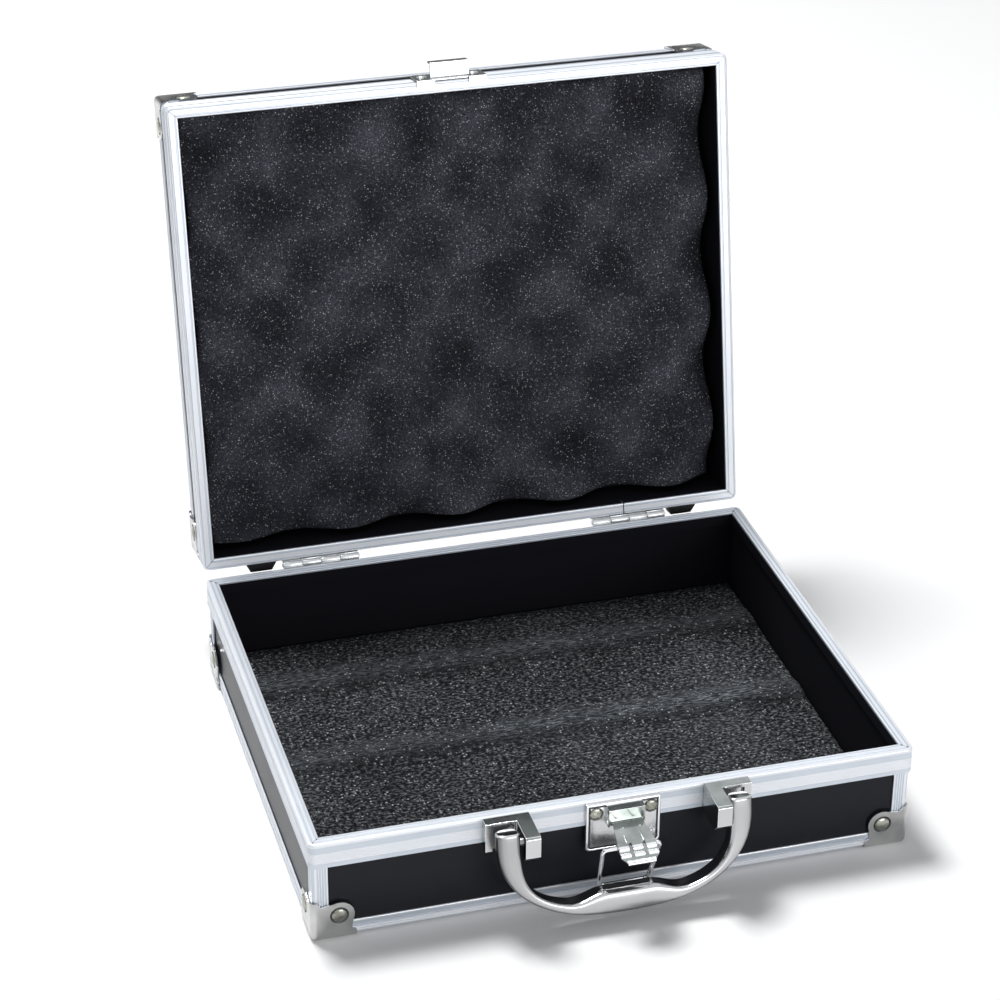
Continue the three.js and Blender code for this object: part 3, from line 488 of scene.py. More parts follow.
def prism(outline, length, along):
    # outline pairs stand in the two axes that are left, in order, and the prism runs from 0 to length
    def corner(u, v, t):
        return {"x": (t, u, v), "y": (u, t, v), "z": (u, v, t)}[along]

    rings = [[corner(u, v, t) for u, v in outline] for t in (0, length)]
    return skin(rings, False)


def shifted(made, x=0, y=0, z=0):
    points, faces = made
    return [(px + x, py + y, pz + z) for px, py, pz in points], faces


def block(x0, x1, y0, y1, z0, z1):
    return shifted(prism([(y0, z0), (y1, z0), (y1, z1), (y0, z1)], x1 - x0, "x"), x=x0)


def together(*parts):
    points, faces = [], []
    for partPoints, partFaces in parts:
        start = len(points)
        points += partPoints
        faces += [tuple(index + start for index in face) for face in partFaces]
    return points, faces


def leanOf(degrees):
    return math.cos(math.radians(degrees)), math.sin(math.radians(degrees))


def arc(cx, cy, radius, start, end, steps):
    angles = [math.radians(start + (end - start) * i / steps) for i in range(steps + 1)]
    return [(cx + radius * math.cos(a), cy + radius * math.sin(a)) for a in angles]


def rod(x0, x1, y, z, radius, sides=32):
    ring = [(y + u, z + v) for u, v in arc(0, 0, radius, 0, 360, sides)[:-1]]
    return shifted(prism(ring, x1 - x0, "x"), x=x0)


def lathe(profile, sides=32):
    # profile pairs are radius and height, and the ends lie on the axis
    rings = []
    for k in range(sides):
        angle = 2 * math.pi * k / sides
        rings.append([(r * math.cos(angle), r * math.sin(angle), h) for r, h in profile])
    points = [point for ring in rings for point in ring]
    count = len(profile)
    faces = []
    for k in range(sides):
        here, there = k * count, ((k + 1) % sides) * count
        for i in range(count - 1):
            faces.append((here + i, there + i, there + i + 1, here + i + 1))
    return points, faces


def dressNode(name, material, body, slot, width=0.25, segments=2, label=None, angle=30, edge=None):
    # a copy of a node's own shape with its edges rounded, seated in its node's stead
    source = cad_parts[name]
    mesh = source.data.copy()
    piece = newObject(label or name + "_skin", mesh)
    made = bmesh.new()
    made.from_mesh(mesh)
    bmesh.ops.remove_doubles(made, verts=made.verts, dist=2e-6)
    bmesh.ops.dissolve_limit(made, angle_limit=math.radians(1), verts=made.verts, edges=made.edges)
    made.to_mesh(mesh)
    made.free()
    mesh.materials.clear()
    mesh.materials.append(material)
    if width:
        rounded(piece, width, segments, angle, edge=edge)
    else:
        smooth(piece)
    return seat(piece, body, slot, name)


def paint(piece, extras, chosen, place=Matrix.Identity(4)):
    # chosen gives a face's material number from its middle in the place's frame
    for extra in extras:
        piece.data.materials.append(extra)
    back = place.inverted()
    for face in piece.data.polygons:
        face.material_index = int(chosen(back @ face.center, face))


def fromOutside(at):
    return min(halfWidth - abs(at.x), halfDepth - abs(at.y))


def corners(frontSign):
    for sx, side in ((-1, "left"), (1, "right")):
        for sy, end in ((frontSign, "front"), (-frontSign, "back")):
            yield sx, sy, end + "_" + side, end.title() + side.title()


def seat(piece, body, slot, *replaced):
    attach(piece, body)
    if replaced:
        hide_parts(*replaced)
    return piece


# ---- geometry node helpers


def newModifierTree(name, inputs):
    inputs = {"Geometry": "NodeSocketGeometry", **inputs, "Material": "NodeSocketMaterial"}
    return newGroup(name, "GeometryNodeTree", inputs, {"Geometry": "NodeSocketGeometry"})


def closeTree(tree, given, out, geometry):
    real = addNode(tree, "GeometryNodeRealizeInstances", {"Geometry": geometry}).outputs["Geometry"]
    finish = addNode(tree, "GeometryNodeSetMaterial", {"Geometry": real, "Material": given["Material"]})
    feed(tree, out, {"Geometry": finish.outputs["Geometry"]})


def grow(name, tree, values, place, seeds=((0, 0, 0),), aims=None, sharp=35):
    # runs a tree on a few seed points and keeps the result, placed, as a plain mesh
    mesh = bpy.data.meshes.new(name)
    mesh.from_pydata([Vector(seed) for seed in seeds], [], [])
    if aims:
        attribute = mesh.attributes.new("aim", "FLOAT_VECTOR", "POINT")
        for item, aim in zip(attribute.data, aims):
            item.vector = aim
    piece = newObject(name, mesh)
    modifier = piece.modifiers.new("grow", "NODES")
    modifier.node_group = tree
    sockets = {item.name: item.identifier for item in tree.interface.items_tree if item.in_out == "INPUT"}
    for key, value in values.items():
        modifier[sockets[key]] = value
    settle(piece)
    piece.data.transform(place)
    faceOut(piece, sharp)
    return piece


# ---- foam


def foamTree():
    # a block of foam whose top follows a sum of ridges and an egg-crate wave
    inputs = {"Length X": 267.0, "Length Y": 217.0, "Points X": 200, "Points Y": 165, "Height": 8.0}
    inputs.update({"Swing": 0.0, "Pitch X": 50.0, "Pitch Y": 50.0, "Turn": 0.0})
    inputs.update({"Shift X": 0.0, "Shift Y": 0.0, "Ridge": 0.0, "Ridge Width": 9.0})
    inputs.update({"Ridge First": 0.0, "Ridge Second": 60.0})
    inputs.update({"Grain": 0.2, "Grain Scale": 0.4, "Seed": 3.0, "Edge Width": 1.5, "Edge Drop": -1.2})
    tree, given, out = newModifierTree("foamBlock", inputs)

    def do(operation, *values):
        return calc(tree, operation, *values)

    size = addNode(tree, "ShaderNodeCombineXYZ", {0: given["Length X"], 1: given["Length Y"], 2: 1.0})
    counts = {"Vertices X": given["Points X"], "Vertices Y": given["Points Y"], "Vertices Z": 7}
    cube = addNode(tree, "GeometryNodeMeshCube", {"Size": size.outputs[0], **counts})
    position = addNode(tree, "GeometryNodeInputPosition").outputs[0]
    x, y, z = addNode(tree, "ShaderNodeSeparateXYZ", {0: position}).outputs
    cosTurn, sinTurn = do("COSINE", given["Turn"]), do("SINE", given["Turn"])
    along = do("MULTIPLY_ADD", y, sinTurn, do("MULTIPLY", x, cosTurn))
    across = do("SUBTRACT", do("MULTIPLY", x, sinTurn), do("MULTIPLY", y, cosTurn))
    waves = []
    for value, axis in ((along, "X"), (across, "Y")):
        phase = do("DIVIDE", do("SUBTRACT", value, given["Shift " + axis]), given["Pitch " + axis])
        waves.append(do("COSINE", do("MULTIPLY", phase, 2 * math.pi)))
    wave = do("MULTIPLY_ADD", do("MULTIPLY", *waves), 0.5, 0.5)
    height = do("MULTIPLY_ADD", wave, given["Swing"], given["Height"])
    for centre in ("Ridge First", "Ridge Second"):
        offset = do("DIVIDE", do("SUBTRACT", y, given[centre]), given["Ridge Width"])
        bell = do("EXPONENT", do("MULTIPLY", do("MULTIPLY", offset, offset), -1.0))
        height = do("MULTIPLY_ADD", bell, given["Ridge"], height)
    # the top falls off towards the block's sides
    edges = []
    for value, axis in ((x, "X"), (y, "Y")):
        inward = do("MULTIPLY", do("ABSOLUTE", value), -1.0)
        edges.append(do("MULTIPLY_ADD", given["Length " + axis], 0.5, inward))
    edge = do("DIVIDE", do("MINIMUM", *edges), given["Edge Width"])
    height = do("MULTIPLY_ADD", do("EXPONENT", do("MULTIPLY", edge, -1.0)), given["Edge Drop"], height)
    noise = {"W": given["Seed"], "Scale": given["Grain Scale"], "Detail": 3.0, "Roughness": 0.7}
    noise = addNode(tree, "ShaderNodeTexNoise", noise, noise_dimensions="4D").outputs["Fac"]
    rough = do("MULTIPLY", do("SUBTRACT", noise, 0.6), given["Grain"])
    height = do("ADD", height, rough)
    inward = do("SUBTRACT", 1.0, do("MULTIPLY", do("ABSOLUTE", rough), 0.004))
    spot = [do("MULTIPLY", x, inward), do("MULTIPLY", y, inward), do("MULTIPLY", do("ADD", z, 0.5), height)]
    spot = addNode(tree, "ShaderNodeCombineXYZ", dict(enumerate(spot))).outputs[0]
    moved = addNode(tree, "GeometryNodeSetPosition", {"Geometry": cube.outputs["Mesh"], "Position": spot})
    closeTree(tree, given, out, moved.outputs["Geometry"])
    return tree


foam = {
    "bottom": 5.5,
    "padInset": 6.2,
    "crateInset": 8.3,
    "leeBack": 9,
    "leeWidth": 5,
    "pad": {
        "Height": 6.0,
        "Ridge": 1.6,
        "Ridge Width": 9.0,
        "Ridge First": 5.0,
        "Ridge Second": 73.0,
        "Grain": 0.9,
        "Grain Scale": 0.45,
        "Seed": 5.0,
    },
    "crate": {
        "Height": 8.0,
        "Swing": 14.0,
        "Pitch X": 56.5,
        "Pitch Y": 59.1,
        "Turn": math.radians(2.72),
        "Shift X": 46.1,
        "Shift Y": 52.0,
        "Grain": 0.5,
        "Grain Scale": 0.5,
        "Seed": 9.0,
    },
}


def pointValues(piece, name, values):
    piece.data.attributes.new(name, "FLOAT", "POINT").data.foreach_set("value", values)


def makeFoam():
    tree = foamTree()
    lifted = Matrix.Translation((0, 0, foam["bottom"]))
    for kind, material, place, body, slotName, node in (
        ("pad", padFoam, baseFrame, "case", "pad_foam", "base_foam_pad"),
        ("crate", crateFoam, lidFrame, "lid", "crate_foam", "lid_foam_crate"),
    ):
        look = foam[kind]
        inset = 2 * foam[kind + "Inset"]
        spans = {"Length X": case["width"] - inset, "Length Y": case["depth"] - inset, "Material": material}
        piece = grow(kind + "Foam", tree, {**look, **spans}, place @ lifted, sharp=75)
        back = (place @ lifted).inverted()
        spots = [back @ vertex.co for vertex in piece.data.vertices]
        low, swing = look["Height"], look.get("Swing") or look["Ridge"]
        pointValues(piece, "crest", [min(max((spot.z - low) / swing, 0.0), 1.0) for spot in spots])
        # the fronts of the pad's ridges, marked for painted shade
        fronts = [look[key] - foam["leeBack"] for key in ("Ridge First", "Ridge Second") if key in look]
        offsets = [[(spot.y - at) / foam["leeWidth"] for at in fronts] for spot in spots]
        pointValues(piece, "lee", [sum(math.exp(-(offset**2)) for offset in near) for near in offsets])
        seat(piece, body, slotName, node)


makeFoam()
print("foam made")


# ---- rim frames

rim = {
    "height": 12.5,
    "leg": 2.0,
    "innerLeg": 0.9,
    "innerHeight": 7,
    "web": 2.5,
    "cornerRadius": 3.2,
    "bead": 0.9,
    "beadFoot": 1.7,
    "ribs": 6,
    "ribPitch": 0.9,
    "ribDepth": 0.18,
    "ribTop": 4.9,
    "grooves": {"baseRim": ((1.75, 2.5), (4.05, 4.7)), "lidRim": ((1.1, 1.4), (4.0, 4.7))},
    "groove": 0.28,
    "lip": 1.1,
    "seamX": 78.6,
    "seam": 0.6,
    "mitre": 0.18,
    "mitreDepth": 0.25,
}


def rimSection(grooves):
    width, height, ribTop, pitch = case["rimWidth"], rim["height"], rim["ribTop"], rim["ribPitch"]
    bead, beadFoot, groove = rim["bead"], rim["beadFoot"], rim["groove"]
    section = [(0.0, -height), (0.0, -height + 0.15)]
    for i in range(rim["ribs"], 0, -1):
        low = -ribTop - i * pitch
        section.append((0.0, low + 0.1))
        for share, depth in ((0.28, 0.75), (0.5, 1.0), (0.72, 0.75)):
            section.append((depth * rim["ribDepth"], low + share * pitch))
        section.append((0.0, low + pitch - 0.1))
    section += [(0.0, -ribTop), (0.12, -ribTop + 0.15), (0.12, -beadFoot - 0.1), (0.0, -beadFoot)]
    section += arc(bead, -bead, bead, 180, 90, 8)
    for start, end in grooves:
        section += [(start - 0.1, 0.0), (start + 0.08, -groove), (end - 0.08, -groove), (end + 0.1, 0.0)]
    section += arc(width - 0.35, -0.35, 0.35, 90, 0, 4)
    inner = width - rim["innerLeg"]
    section += [(width, -rim["lip"]), (width, -rim["innerHeight"]), (inner, -rim["innerHeight"])]
    section += [(inner, -rim["web"]), (rim["leg"], -rim["web"]), (rim["leg"], -height)]
    return section


def rimLoop(inset, z):
    radius = max(rim["cornerRadius"] - inset, 0.25)
    hx = halfWidth - inset - radius
    hy = halfDepth - inset - radius
    loop = []
    for sx, sy, start in ((1, 1, 0), (-1, 1, 90), (-1, -1, 180), (1, -1, 270)):
        loop += [(x, y, z) for x, y in arc(sx * hx, sy * hy, radius, start, start + 90, 8)]
    return loop


def makeRim(name, height, place, body, node, withSeam):
    rings = [rimLoop(inset, height + z) for inset, z in rimSection(rim["grooves"][name])]
    points, faces = skin(rings, True)
    piece = newPiece(name, points, faces, place, aluminium, sharp=28)
    ribFoot = rim["ribTop"] + rim["ribs"] * rim["ribPitch"]

    def number(at, face):
        # the lining reaches up the rim's inner leg, and the top faces, bead and ribs are painted brighter
        # than plain faces, a painted highlight
        inset, down = fromOutside(at), height - at.z
        if inset > case["rimWidth"] - 0.1 and down > rim["lip"] + 0.2:
            return 1
        banded = down < rim["beadFoot"] or rim["ribTop"] < down < ribFoot
        return 2 if down < 0.06 or (inset < rim["bead"] and banded) else 0

    paint(piece, (lining, paintedHighlightAluminium), number, place)
    if withSeam:
        x0, x1 = rim["seamX"] - rim["seam"] / 2, rim["seamX"] + rim["seam"] / 2
        slot = block(x0, x1, -halfDepth - 1, -halfDepth + 7, height - rim["height"] - 1, height + 1)
        carve(piece, newPiece("rimSeam", *slot, place, aluminium), "DIFFERENCE")
        smooth(piece, 28)
    seat(piece, body, "aluminium_trim", node)
    # dark lines where the rim's lengths meet
    mitres = []
    for sx, sy in ((-1, -1), (-1, 1), (1, -1), (1, 1)):
        ends = []
        for inset in (1.9, case["rimWidth"] - 0.1):
            ends.append(Vector((sx * (halfWidth - inset), sy * (halfDepth - inset), height + 0.02)))
        across = (ends[1] - ends[0]).cross(Vector((0, 0, 1))).normalized() * (rim["mitre"] / 2)
        down = Vector((0, 0, rim["mitreDepth"]))
        foot = [ends[0] - across, ends[0] + across, ends[1] + across, ends[1] - across]
        mitres.append(skin([[point - down for point in foot], foot], False))
    lines = newPiece(name + "Mitres", *together(*mitres), place, seamAndShadeDark)
    seat(lines, body, "aluminium_trim")


makeRim("baseRim", case["baseHeight"], baseFrame, "case", "base_rim_frame", False)
makeRim("lidRim", case["lidHeight"], lidFrame, "lid", "lid_rim_frame", True)
print("rims made")


# ---- corner posts and edge profiles

trim = {
    "thickness": 0.8,
    "leg": 7.2,
    "radius": 1.5,
    "flutes": 4,
    "fluteDepth": 0.2,
    "z": 1.1,
    "gap": 0.3,
    "ribLines": (1.9, 2.9),
    "line": 4.1,
    "underLines": (5.4, 3.0),
    "foot": 0.8,
}


def postOutline():
    radius, leg, deep = trim["radius"], trim["leg"], trim["fluteDepth"]
    pitch = (leg - radius) / (trim["flutes"] + 1)

    def flute(at):
        reach = pitch * 0.32
        return [(at + reach, 0.0), (at + reach / 2, deep), (at - reach / 2, deep), (at - reach, 0.0)]

    outline = [(leg, 0.1), (leg - 0.1, 0.0)]
    for i in range(trim["flutes"], 0, -1):
        outline += flute(radius + i * pitch)
    outline += arc(radius, radius, radius, 270, 180, 8)
    for i in range(1, trim["flutes"] + 1):
        outline += [(b, a) for a, b in reversed(flute(radius + i * pitch))]
    wall = trim["thickness"]
    outline += [(0.0, leg - 0.1), (0.1, leg), (wall, leg), (wall, wall), (leg, wall)]
    return outline


def makePosts(prefix, height, place, body, frontSign):
    foot = trim["foot"] + trim["gap"] + trim["radius"]
    length = height - rim["height"] - trim["gap"] - foot
    inset = case["trimInset"]
    for sx, sy, word, label in corners(frontSign):
        corner = [(sx * (halfWidth - inset - a), sy * (halfDepth - inset - b)) for a, b in postOutline()]
        made = shifted(prism(corner, length, "z"), z=foot)
        piece = newPiece(prefix + "Post" + label, *made, place, aluminium, sharp=28)
        # painted highlight: the post's outer faces take the lighter aluminium
        paint(piece, (paintedHighlightAluminium,), lambda at, face: fromOutside(at) < inset + 0.06, place)
        seat(piece, body, "aluminium_trim", prefix + "_corner_post_" + word)


def edgeOutline():
    # pairs run in from the outer face and up from the lowest face: a band, a line and fine ribs
    leg, wall, radius = trim["leg"], trim["thickness"], trim["radius"]
    outline = [(0.0, radius)]
    for at in trim["ribLines"]:
        outline += [(0.0, at - 0.25), (0.16, at - 0.08), (0.16, at + 0.08), (0.0, at + 0.25)]
    line = trim["line"]
    outline += [(0.0, line - 0.3), (0.35, line - 0.15), (0.35, line + 0.1), (0.1, line + 0.3)]
    outline += [(0.1, leg - 1.0), (0.0, leg - 0.8), (0.0, leg - 0.3), (0.12, leg - 0.08), (0.3, leg)]
    outline += [(wall, leg), (wall, wall), (leg, wall), (leg, 0.12), (leg - 0.12, 0.0)]
    for at in trim["underLines"]:
        outline += [(at + 0.35, 0.0), (at + 0.15, 0.2), (at - 0.15, 0.2), (at - 0.35, 0.0)]
    outline += arc(radius, radius, radius, 270, 180, 8)[:-1]
    return outline


def makeEdges(prefix, word, place, body, frontSign):
    inset = case["trimInset"]

    # painted highlight: the outer faces of the ribbed bands take the lighter aluminium
    def ribbed(at, face):
        up = at.z - trim["z"]
        return fromOutside(at) < inset + 1.4 and (up < trim["line"] - 0.3 or up > trim["leg"] - 1)

    for sign, side, outer, reach, along in (
        (-1, "left", halfWidth, halfDepth, "y"),
        (1, "right", halfWidth, halfDepth, "y"),
        (frontSign, "front", halfDepth, halfWidth, "x"),
        (-frontSign, "back", halfDepth, halfWidth, "x"),
    ):
        length = 2 * (reach - inset - trim["leg"] - trim["gap"])
        outline = [(sign * (outer - inset - u), trim["z"] + v) for u, v in edgeOutline()]
        made = shifted(prism(outline, length, along), **{along: -length / 2})
        piece = newPiece(prefix + "Edge" + side.title(), *made, place, aluminium, sharp=28)
        paint(piece, (paintedHighlightAluminium,), ribbed, place)
        seat(piece, body, "aluminium_trim", prefix + word + side)


makePosts("base", case["baseHeight"], baseFrame, "case", -1)
makePosts("lid", case["lidHeight"], lidFrame, "lid", 1)
makeEdges("base", "_bottom_edge_", baseFrame, "case", -1)
makeEdges("lid", "_top_edge_", lidFrame, "lid", 1)
print("posts and edge profiles made")


# ---- corner caps

cap = {
    "thickness": 0.8,
    "radius": 2.6,
    "leg": 20.5,
    "legWidth": 4.4,
    "lobe": 6.8,
    "lobeAt": 12.8,
    "rivet": 3.5,
    "rivetRise": 1.1,
    "dimple": 4.0,
}


def leafOutline(rise):
    # a leg along the edge that rises to a round lobe, and the lobe's height
    reach, width, lobe = cap["leg"], cap["legWidth"], cap["lobe"]
    up = min(cap["lobeAt"], rise - lobe - 0.3)
    dip = max(-0.35, min(0.9, (width + 1.2 - up) / lobe))
    start = math.degrees(math.asin(dip))
    outline = [(-2, -2), (reach, -2), (reach, width * 0.45)]
    outline += arc(reach - 2.2, width - 1.2, 2.2, 20, 85, 5)
    outline += arc(cap["lobeAt"], up, lobe, start, 110, 22)
    outline += [(width + 0.5, rise - 2.4), (width * 0.85, rise - 1.2), (width * 0.45, rise), (-2, rise)]
    return outline, up


def roundedCube(low, high, radius, segments=6):
    points, faces = block(low, high, low, high, low, high)
    cube = newPiece("cornerCube", points, faces, Matrix.Identity(4), nickel)
    bevel = cube.modifiers.new("roundEdges", "BEVEL")
    bevel.width = radius
    bevel.segments = segments
    bevel.limit_method = "NONE"
    return settle(cube)


def makeCapMesh(rise):
    # three leaves in a corner frame, where the outer faces are the three zero planes
    size = 3 * cap["leg"]
    shell = roundedCube(0, size, cap["radius"])
    hollow = roundedCube(cap["thickness"], size + 5, cap["radius"] - cap["thickness"])
    carve(shell, hollow, "DIFFERENCE")
    flat, _ = leafOutline(cap["leg"])
    wall, up = leafOutline(rise)
    deep = cap["radius"] + cap["thickness"]
    reach = deep + 1
    leaves = []
    for outline, along in ((flat, "z"), (wall, "x"), (wall, "y")):
        made = shifted(prism(outline, reach, along), **{along: -1})
        leaves.append(newPiece("capLeaf", *made, Matrix.Identity(4), nickel))
    for leaf in leaves[1:]:
        carve(leaves[0], leaf, "UNION")
    carve(shell, leaves[0], "INTERSECT")
    brim, lobeAt = cap["dimple"] + 0.3, cap["lobeAt"]
    dish = [(0, -1), (brim, -1), (brim, 0.0), (cap["dimple"] - 0.2, 0.3), (0, 0.35)]
    for axis, turn, x, y in (("X", -math.pi / 2, lobeAt, 0), ("Y", math.pi / 2, 0, lobeAt)):
        place = Matrix.Translation((x, y, up)) @ Matrix.Rotation(turn, 4, axis)
        carve(shell, newPiece("rivetDish", *lathe(dish, 40), place, nickel), "DIFFERENCE")

    def number(at, face):
        # sheared edges carry a painted highlight and the dishes round the rivets painted shade
        near, middle, _ = sorted(at)
        if 0.03 < min(at.x, at.y) < 0.5 and math.hypot(max(at.x, at.y) - lobeAt, at.z - up) < brim + 0.2:
            return 2
        return 0.2 < near < 0.7 and middle > cap["radius"]

    paint(shell, (chrome, seamAndShadeDark), number)
    mesh = shell.data
    bpy.data.objects.remove(shell)
    return mesh, up


def rivetTree():
    # domed heads, one on every seed point, aimed by the aim attribute
    tree, given, out = newModifierTree("rivetHeads", {"Radius": 2.5, "Rise": 0.9, "Segments": 28})
    ball = {"Rings": 16, "Segments": given["Segments"], "Radius": 1.0}
    ball = addNode(tree, "GeometryNodeMeshUVSphere", ball).outputs["Mesh"]
    size = addNode(tree, "ShaderNodeCombineXYZ", {0: given["Radius"], 1: given["Radius"], 2: given["Rise"]})
    dome = addNode(tree, "GeometryNodeTransform", {"Geometry": ball, "Scale": size.outputs[0]})
    aim = addNode(tree, "GeometryNodeInputNamedAttribute", {"Name": "aim"}, data_type="FLOAT_VECTOR")
    turn = addNode(tree, "FunctionNodeAlignRotationToVector", {"Vector": aim.outputs["Attribute"]}, axis="Z")
    heads = {"Points": given["Geometry"], "Instance": dome.outputs["Geometry"]}
    heads["Rotation"] = turn.outputs["Rotation"]
    heads = addNode(tree, "GeometryNodeInstanceOnPoints", heads)
    closeTree(tree, given, out, heads.outputs["Instances"])
    return tree


rivetHeads = rivetTree()


def makeCaps(prefix, rise, place, body, frontSign):
    mesh, up = makeCapMesh(rise)
    seeds, aims = [], []
    outer = Vector((halfWidth - case["capInset"], halfDepth - case["capInset"]))
    for sx, sy, word, label in corners(frontSign):
        corner = Matrix.Translation((sx * outer.x, sy * outer.y, 0)) @ Matrix.Diagonal((-sx, -sy, 1, 1))
        copy = mesh.copy()
        copy.transform(place @ corner)
        piece = newObject(prefix + "Cap" + label, copy)
        faceOut(piece, 30)
        seat(piece, body, "cap_nickel", prefix + "_corner_cap_" + word)
        for inX, inY, aim in ((cap["lobeAt"], 0.25, (0, sy, 0)), (0.25, cap["lobeAt"], (sx, 0, 0))):
            seeds.append((sx * (outer.x - inX), sy * (outer.y - inY), up))
            aims.append(aim)
    bpy.data.meshes.remove(mesh)
    values = {"Radius": cap["rivet"], "Rise": cap["rivetRise"], "Material": oliveRivet}
    rivets = grow(prefix + "CapRivets", rivetHeads, values, place, seeds, aims=aims)
    seat(rivets, body, "cap_nickel")


makeCaps("base", cap["leg"], baseFrame, "case", -1)
makeCaps("lid", min(cap["leg"], case["lidHeight"] - rim["height"] - 0.8), lidFrame, "lid", 1)
print("corner caps made")


# ---- panels


def makePanels(prefix, skinName, body, place):
    # laminate outside, plain lining inside
    turn = place.inverted().to_3x3()
    for word in (skinName, "front", "back", "left", "right"):
        node = prefix + "_" + word + "_panel"
        label = prefix + "Panel" + word.title()
        piece = dressNode(node, laminate, body, "black_laminate", width=0, label=label)

        def inside(at, face):
            toMiddle = Vector((-at.x, -at.y, 12 - at.z if word == skinName else 0))
            return (turn @ face.normal).dot(toMiddle) > 0

        paint(piece, (lining,), inside, place)


makePanels("base", "bottom", "case", baseFrame)
makePanels("lid", "top", "lid", lidFrame)
print("panels made")


# ---- hinges and stop feet


def makeHinges():
    for side in ("left", "right"):
        for word, label, body, width in (
            ("_base_leaf", "BaseLeaf", "case", 0.25),
            ("_lid_leaf", "LidLeaf", "lid", 0.25),
            ("_pin", "HingePin", "case", 0.2),
        ):
            node = "hinge_" + side + word
            dressNode(node, zinc, body, "hinge_steel", width=width, label=side + label, angle=40)


makeHinges()


def makeFeet():
    for half, body in (("base", "case"), ("lid", "lid")):
        for side in ("left", "right"):
            node = half + "_back_foot_" + side
            label = half + "Foot" + side.title()
            dressNode(node, rubber, body, "foot_rubber", width=0.8, segments=3, label=label, angle=20)


makeFeet()
print("hinges and feet made")


# ---- handle and brackets

handle = {
    "middle": -1.4,
    "pivotY": -128.0,
    "pivotZ": 45.6,
    "lean": 11,
    "half": 58.6,
    "legWidth": 10.6,
    "drop": 40.6,
    "innerDrop": 33.6,
    "swell": 5.0,
    "swellFlat": 10.0,
    "swellFade": 18.0,
    "legDepth": 8.4,
    "gripDepth": 10.6,
    "capRise": 5.4,
    "capBevel": 1.4,
    "capShrink": 0.26,
    "outerPower": 2.3,
    "innerPower": 3.3,
    "bandFrom": 0.62,
    "bore": 1.7,
    "pinReach": 3.2,
    "around": 48,
    "steps": 72,
}


def handlePoint(out, down, forward):
    c, s = leanOf(handle["lean"])
    y = handle["pivotY"] - down * s - forward * c
    return (out, y, handle["pivotZ"] - down * c + forward * s)


def handleRing(outer, inner, depth, scale):
    ring = []
    for k in range(handle["around"]):
        angle = 2 * math.pi * (k + 0.5) / handle["around"]
        c, s = math.cos(angle), math.sin(angle)
        power = 5 if c > 0 else 2.4
        p = 0.5 - 0.5 * scale * math.copysign(abs(c) ** (2 / power), c)
        q = 0.5 * scale * math.copysign(abs(s) ** (2 / 3), s)
        out, down = (near + (far - near) * p for near, far in zip(inner, outer))
        ring.append(handlePoint(out, down, q * depth))
    return ring


def superArc(t, a, b, power):
    return a * max(math.cos(t), 0) ** (2 / power), b * math.sin(t) ** (2 / power)


def makeHandle():
    reach, around = handle["half"], handle["around"]
    legInner = reach - handle["legWidth"]
    top, bevel = -handle["capRise"], handle["capBevel"]
    half = []
    for i in range(6):
        a = math.radians(90 * i / 5)
        down = top + bevel * (1 - math.cos(a))
        scale = 1 - handle["capShrink"] * (1 - math.sin(a))
        half.append(handleRing([reach, down], [legInner, down], handle["legDepth"], scale))
    half.append(handleRing([reach, -1], [legInner, -1], handle["legDepth"], 1))
    for i in range(1, handle["steps"] + 1):
        t = math.pi / 2 * i / handle["steps"]
        outer = list(superArc(t, reach, handle["drop"], handle["outerPower"]))
        inner = list(superArc(t, legInner, handle["innerDrop"], handle["innerPower"]))
        fade = min(max((inner[0] - handle["swellFlat"]) / handle["swellFade"], 0), 1)
        inner[1] -= handle["swell"] * (0.5 + 0.5 * math.cos(math.pi * fade))
        depth = handle["legDepth"] + (handle["gripDepth"] - handle["legDepth"]) * math.sin(t) ** 2
        half.append(handleRing(outer, inner, depth, 1))
    rings = half + [[(-x, y, z) for x, y, z in ring] for ring in reversed(half[:-1])]
    points, faces = skin(rings, False)
    place = baseFrame @ Matrix.Translation((handle["middle"], 0, 0))
    piece = newPiece("handleBar", points, faces, place, handleMetal, sharp=50)
    # polished towards the inside of the loop, and painted shade where it turns outwards
    inward = [math.cos(2 * math.pi * (k + 0.5) / around) for k in range(around)]
    polish = [1.0 if share > handle["bandFrom"] else 0.0 for share in inward]
    turned = [min(max((-share - 0.45) / 0.5, 0.0), 1.0) * 0.85 for share in inward]
    for name, values in (("polish", polish), ("turned", turned)):
        pointValues(piece, name, (values * len(rings))[: len(piece.data.vertices)])
    for sign in (-1, 1):
        ends = sign * (legInner - 1), sign * (reach - handle["pinReach"])
        bore = rod(*ends, handle["pivotY"], handle["pivotZ"], handle["bore"])
        carve(piece, newPiece("handleBore", *bore, place, handleMetal), "DIFFERENCE")
    smooth(piece, 50)
    c, s = leanOf(handle["lean"])

    def number(at, face):
        # flat leg ends in painted shade, with a painted highlight on the bevel round them
        fall = (handle["pivotZ"] - at.z) * c + (handle["pivotY"] - at.y) * s + handle["capRise"]
        return 1 if fall < 0.04 else 2 if fall < bevel * 0.8 else 0

    paint(piece, (shadeChrome, plateNickelAndHighlight), number, place)
    seat(piece, "handle", "handle_satin", "handle")


makeHandle()
for side in ("left", "right"):
    given = {"width": 0.45, "segments": 3, "label": side + "Bracket", "edge": chrome}
    # painted light: broad faces in the darker chrome, rounded edges in the bright chrome as a painted
    # highlight, and front faces lighter in plate nickel
    bracket = dressNode("handle_bracket_" + side, shadeChrome, "case", "bracket_chrome", **given)
    paint(bracket, (plateNickelAndHighlight,), lambda at, face: face.material_index or 2 * (face.normal.y < -0.8))
    given = {"width": 0.2, "label": side + "HandlePin", "angle": 40}
    dressNode("handle_pin_" + side, zinc, "case", "bracket_chrome", **given)
print("handle made")


# ---- latch

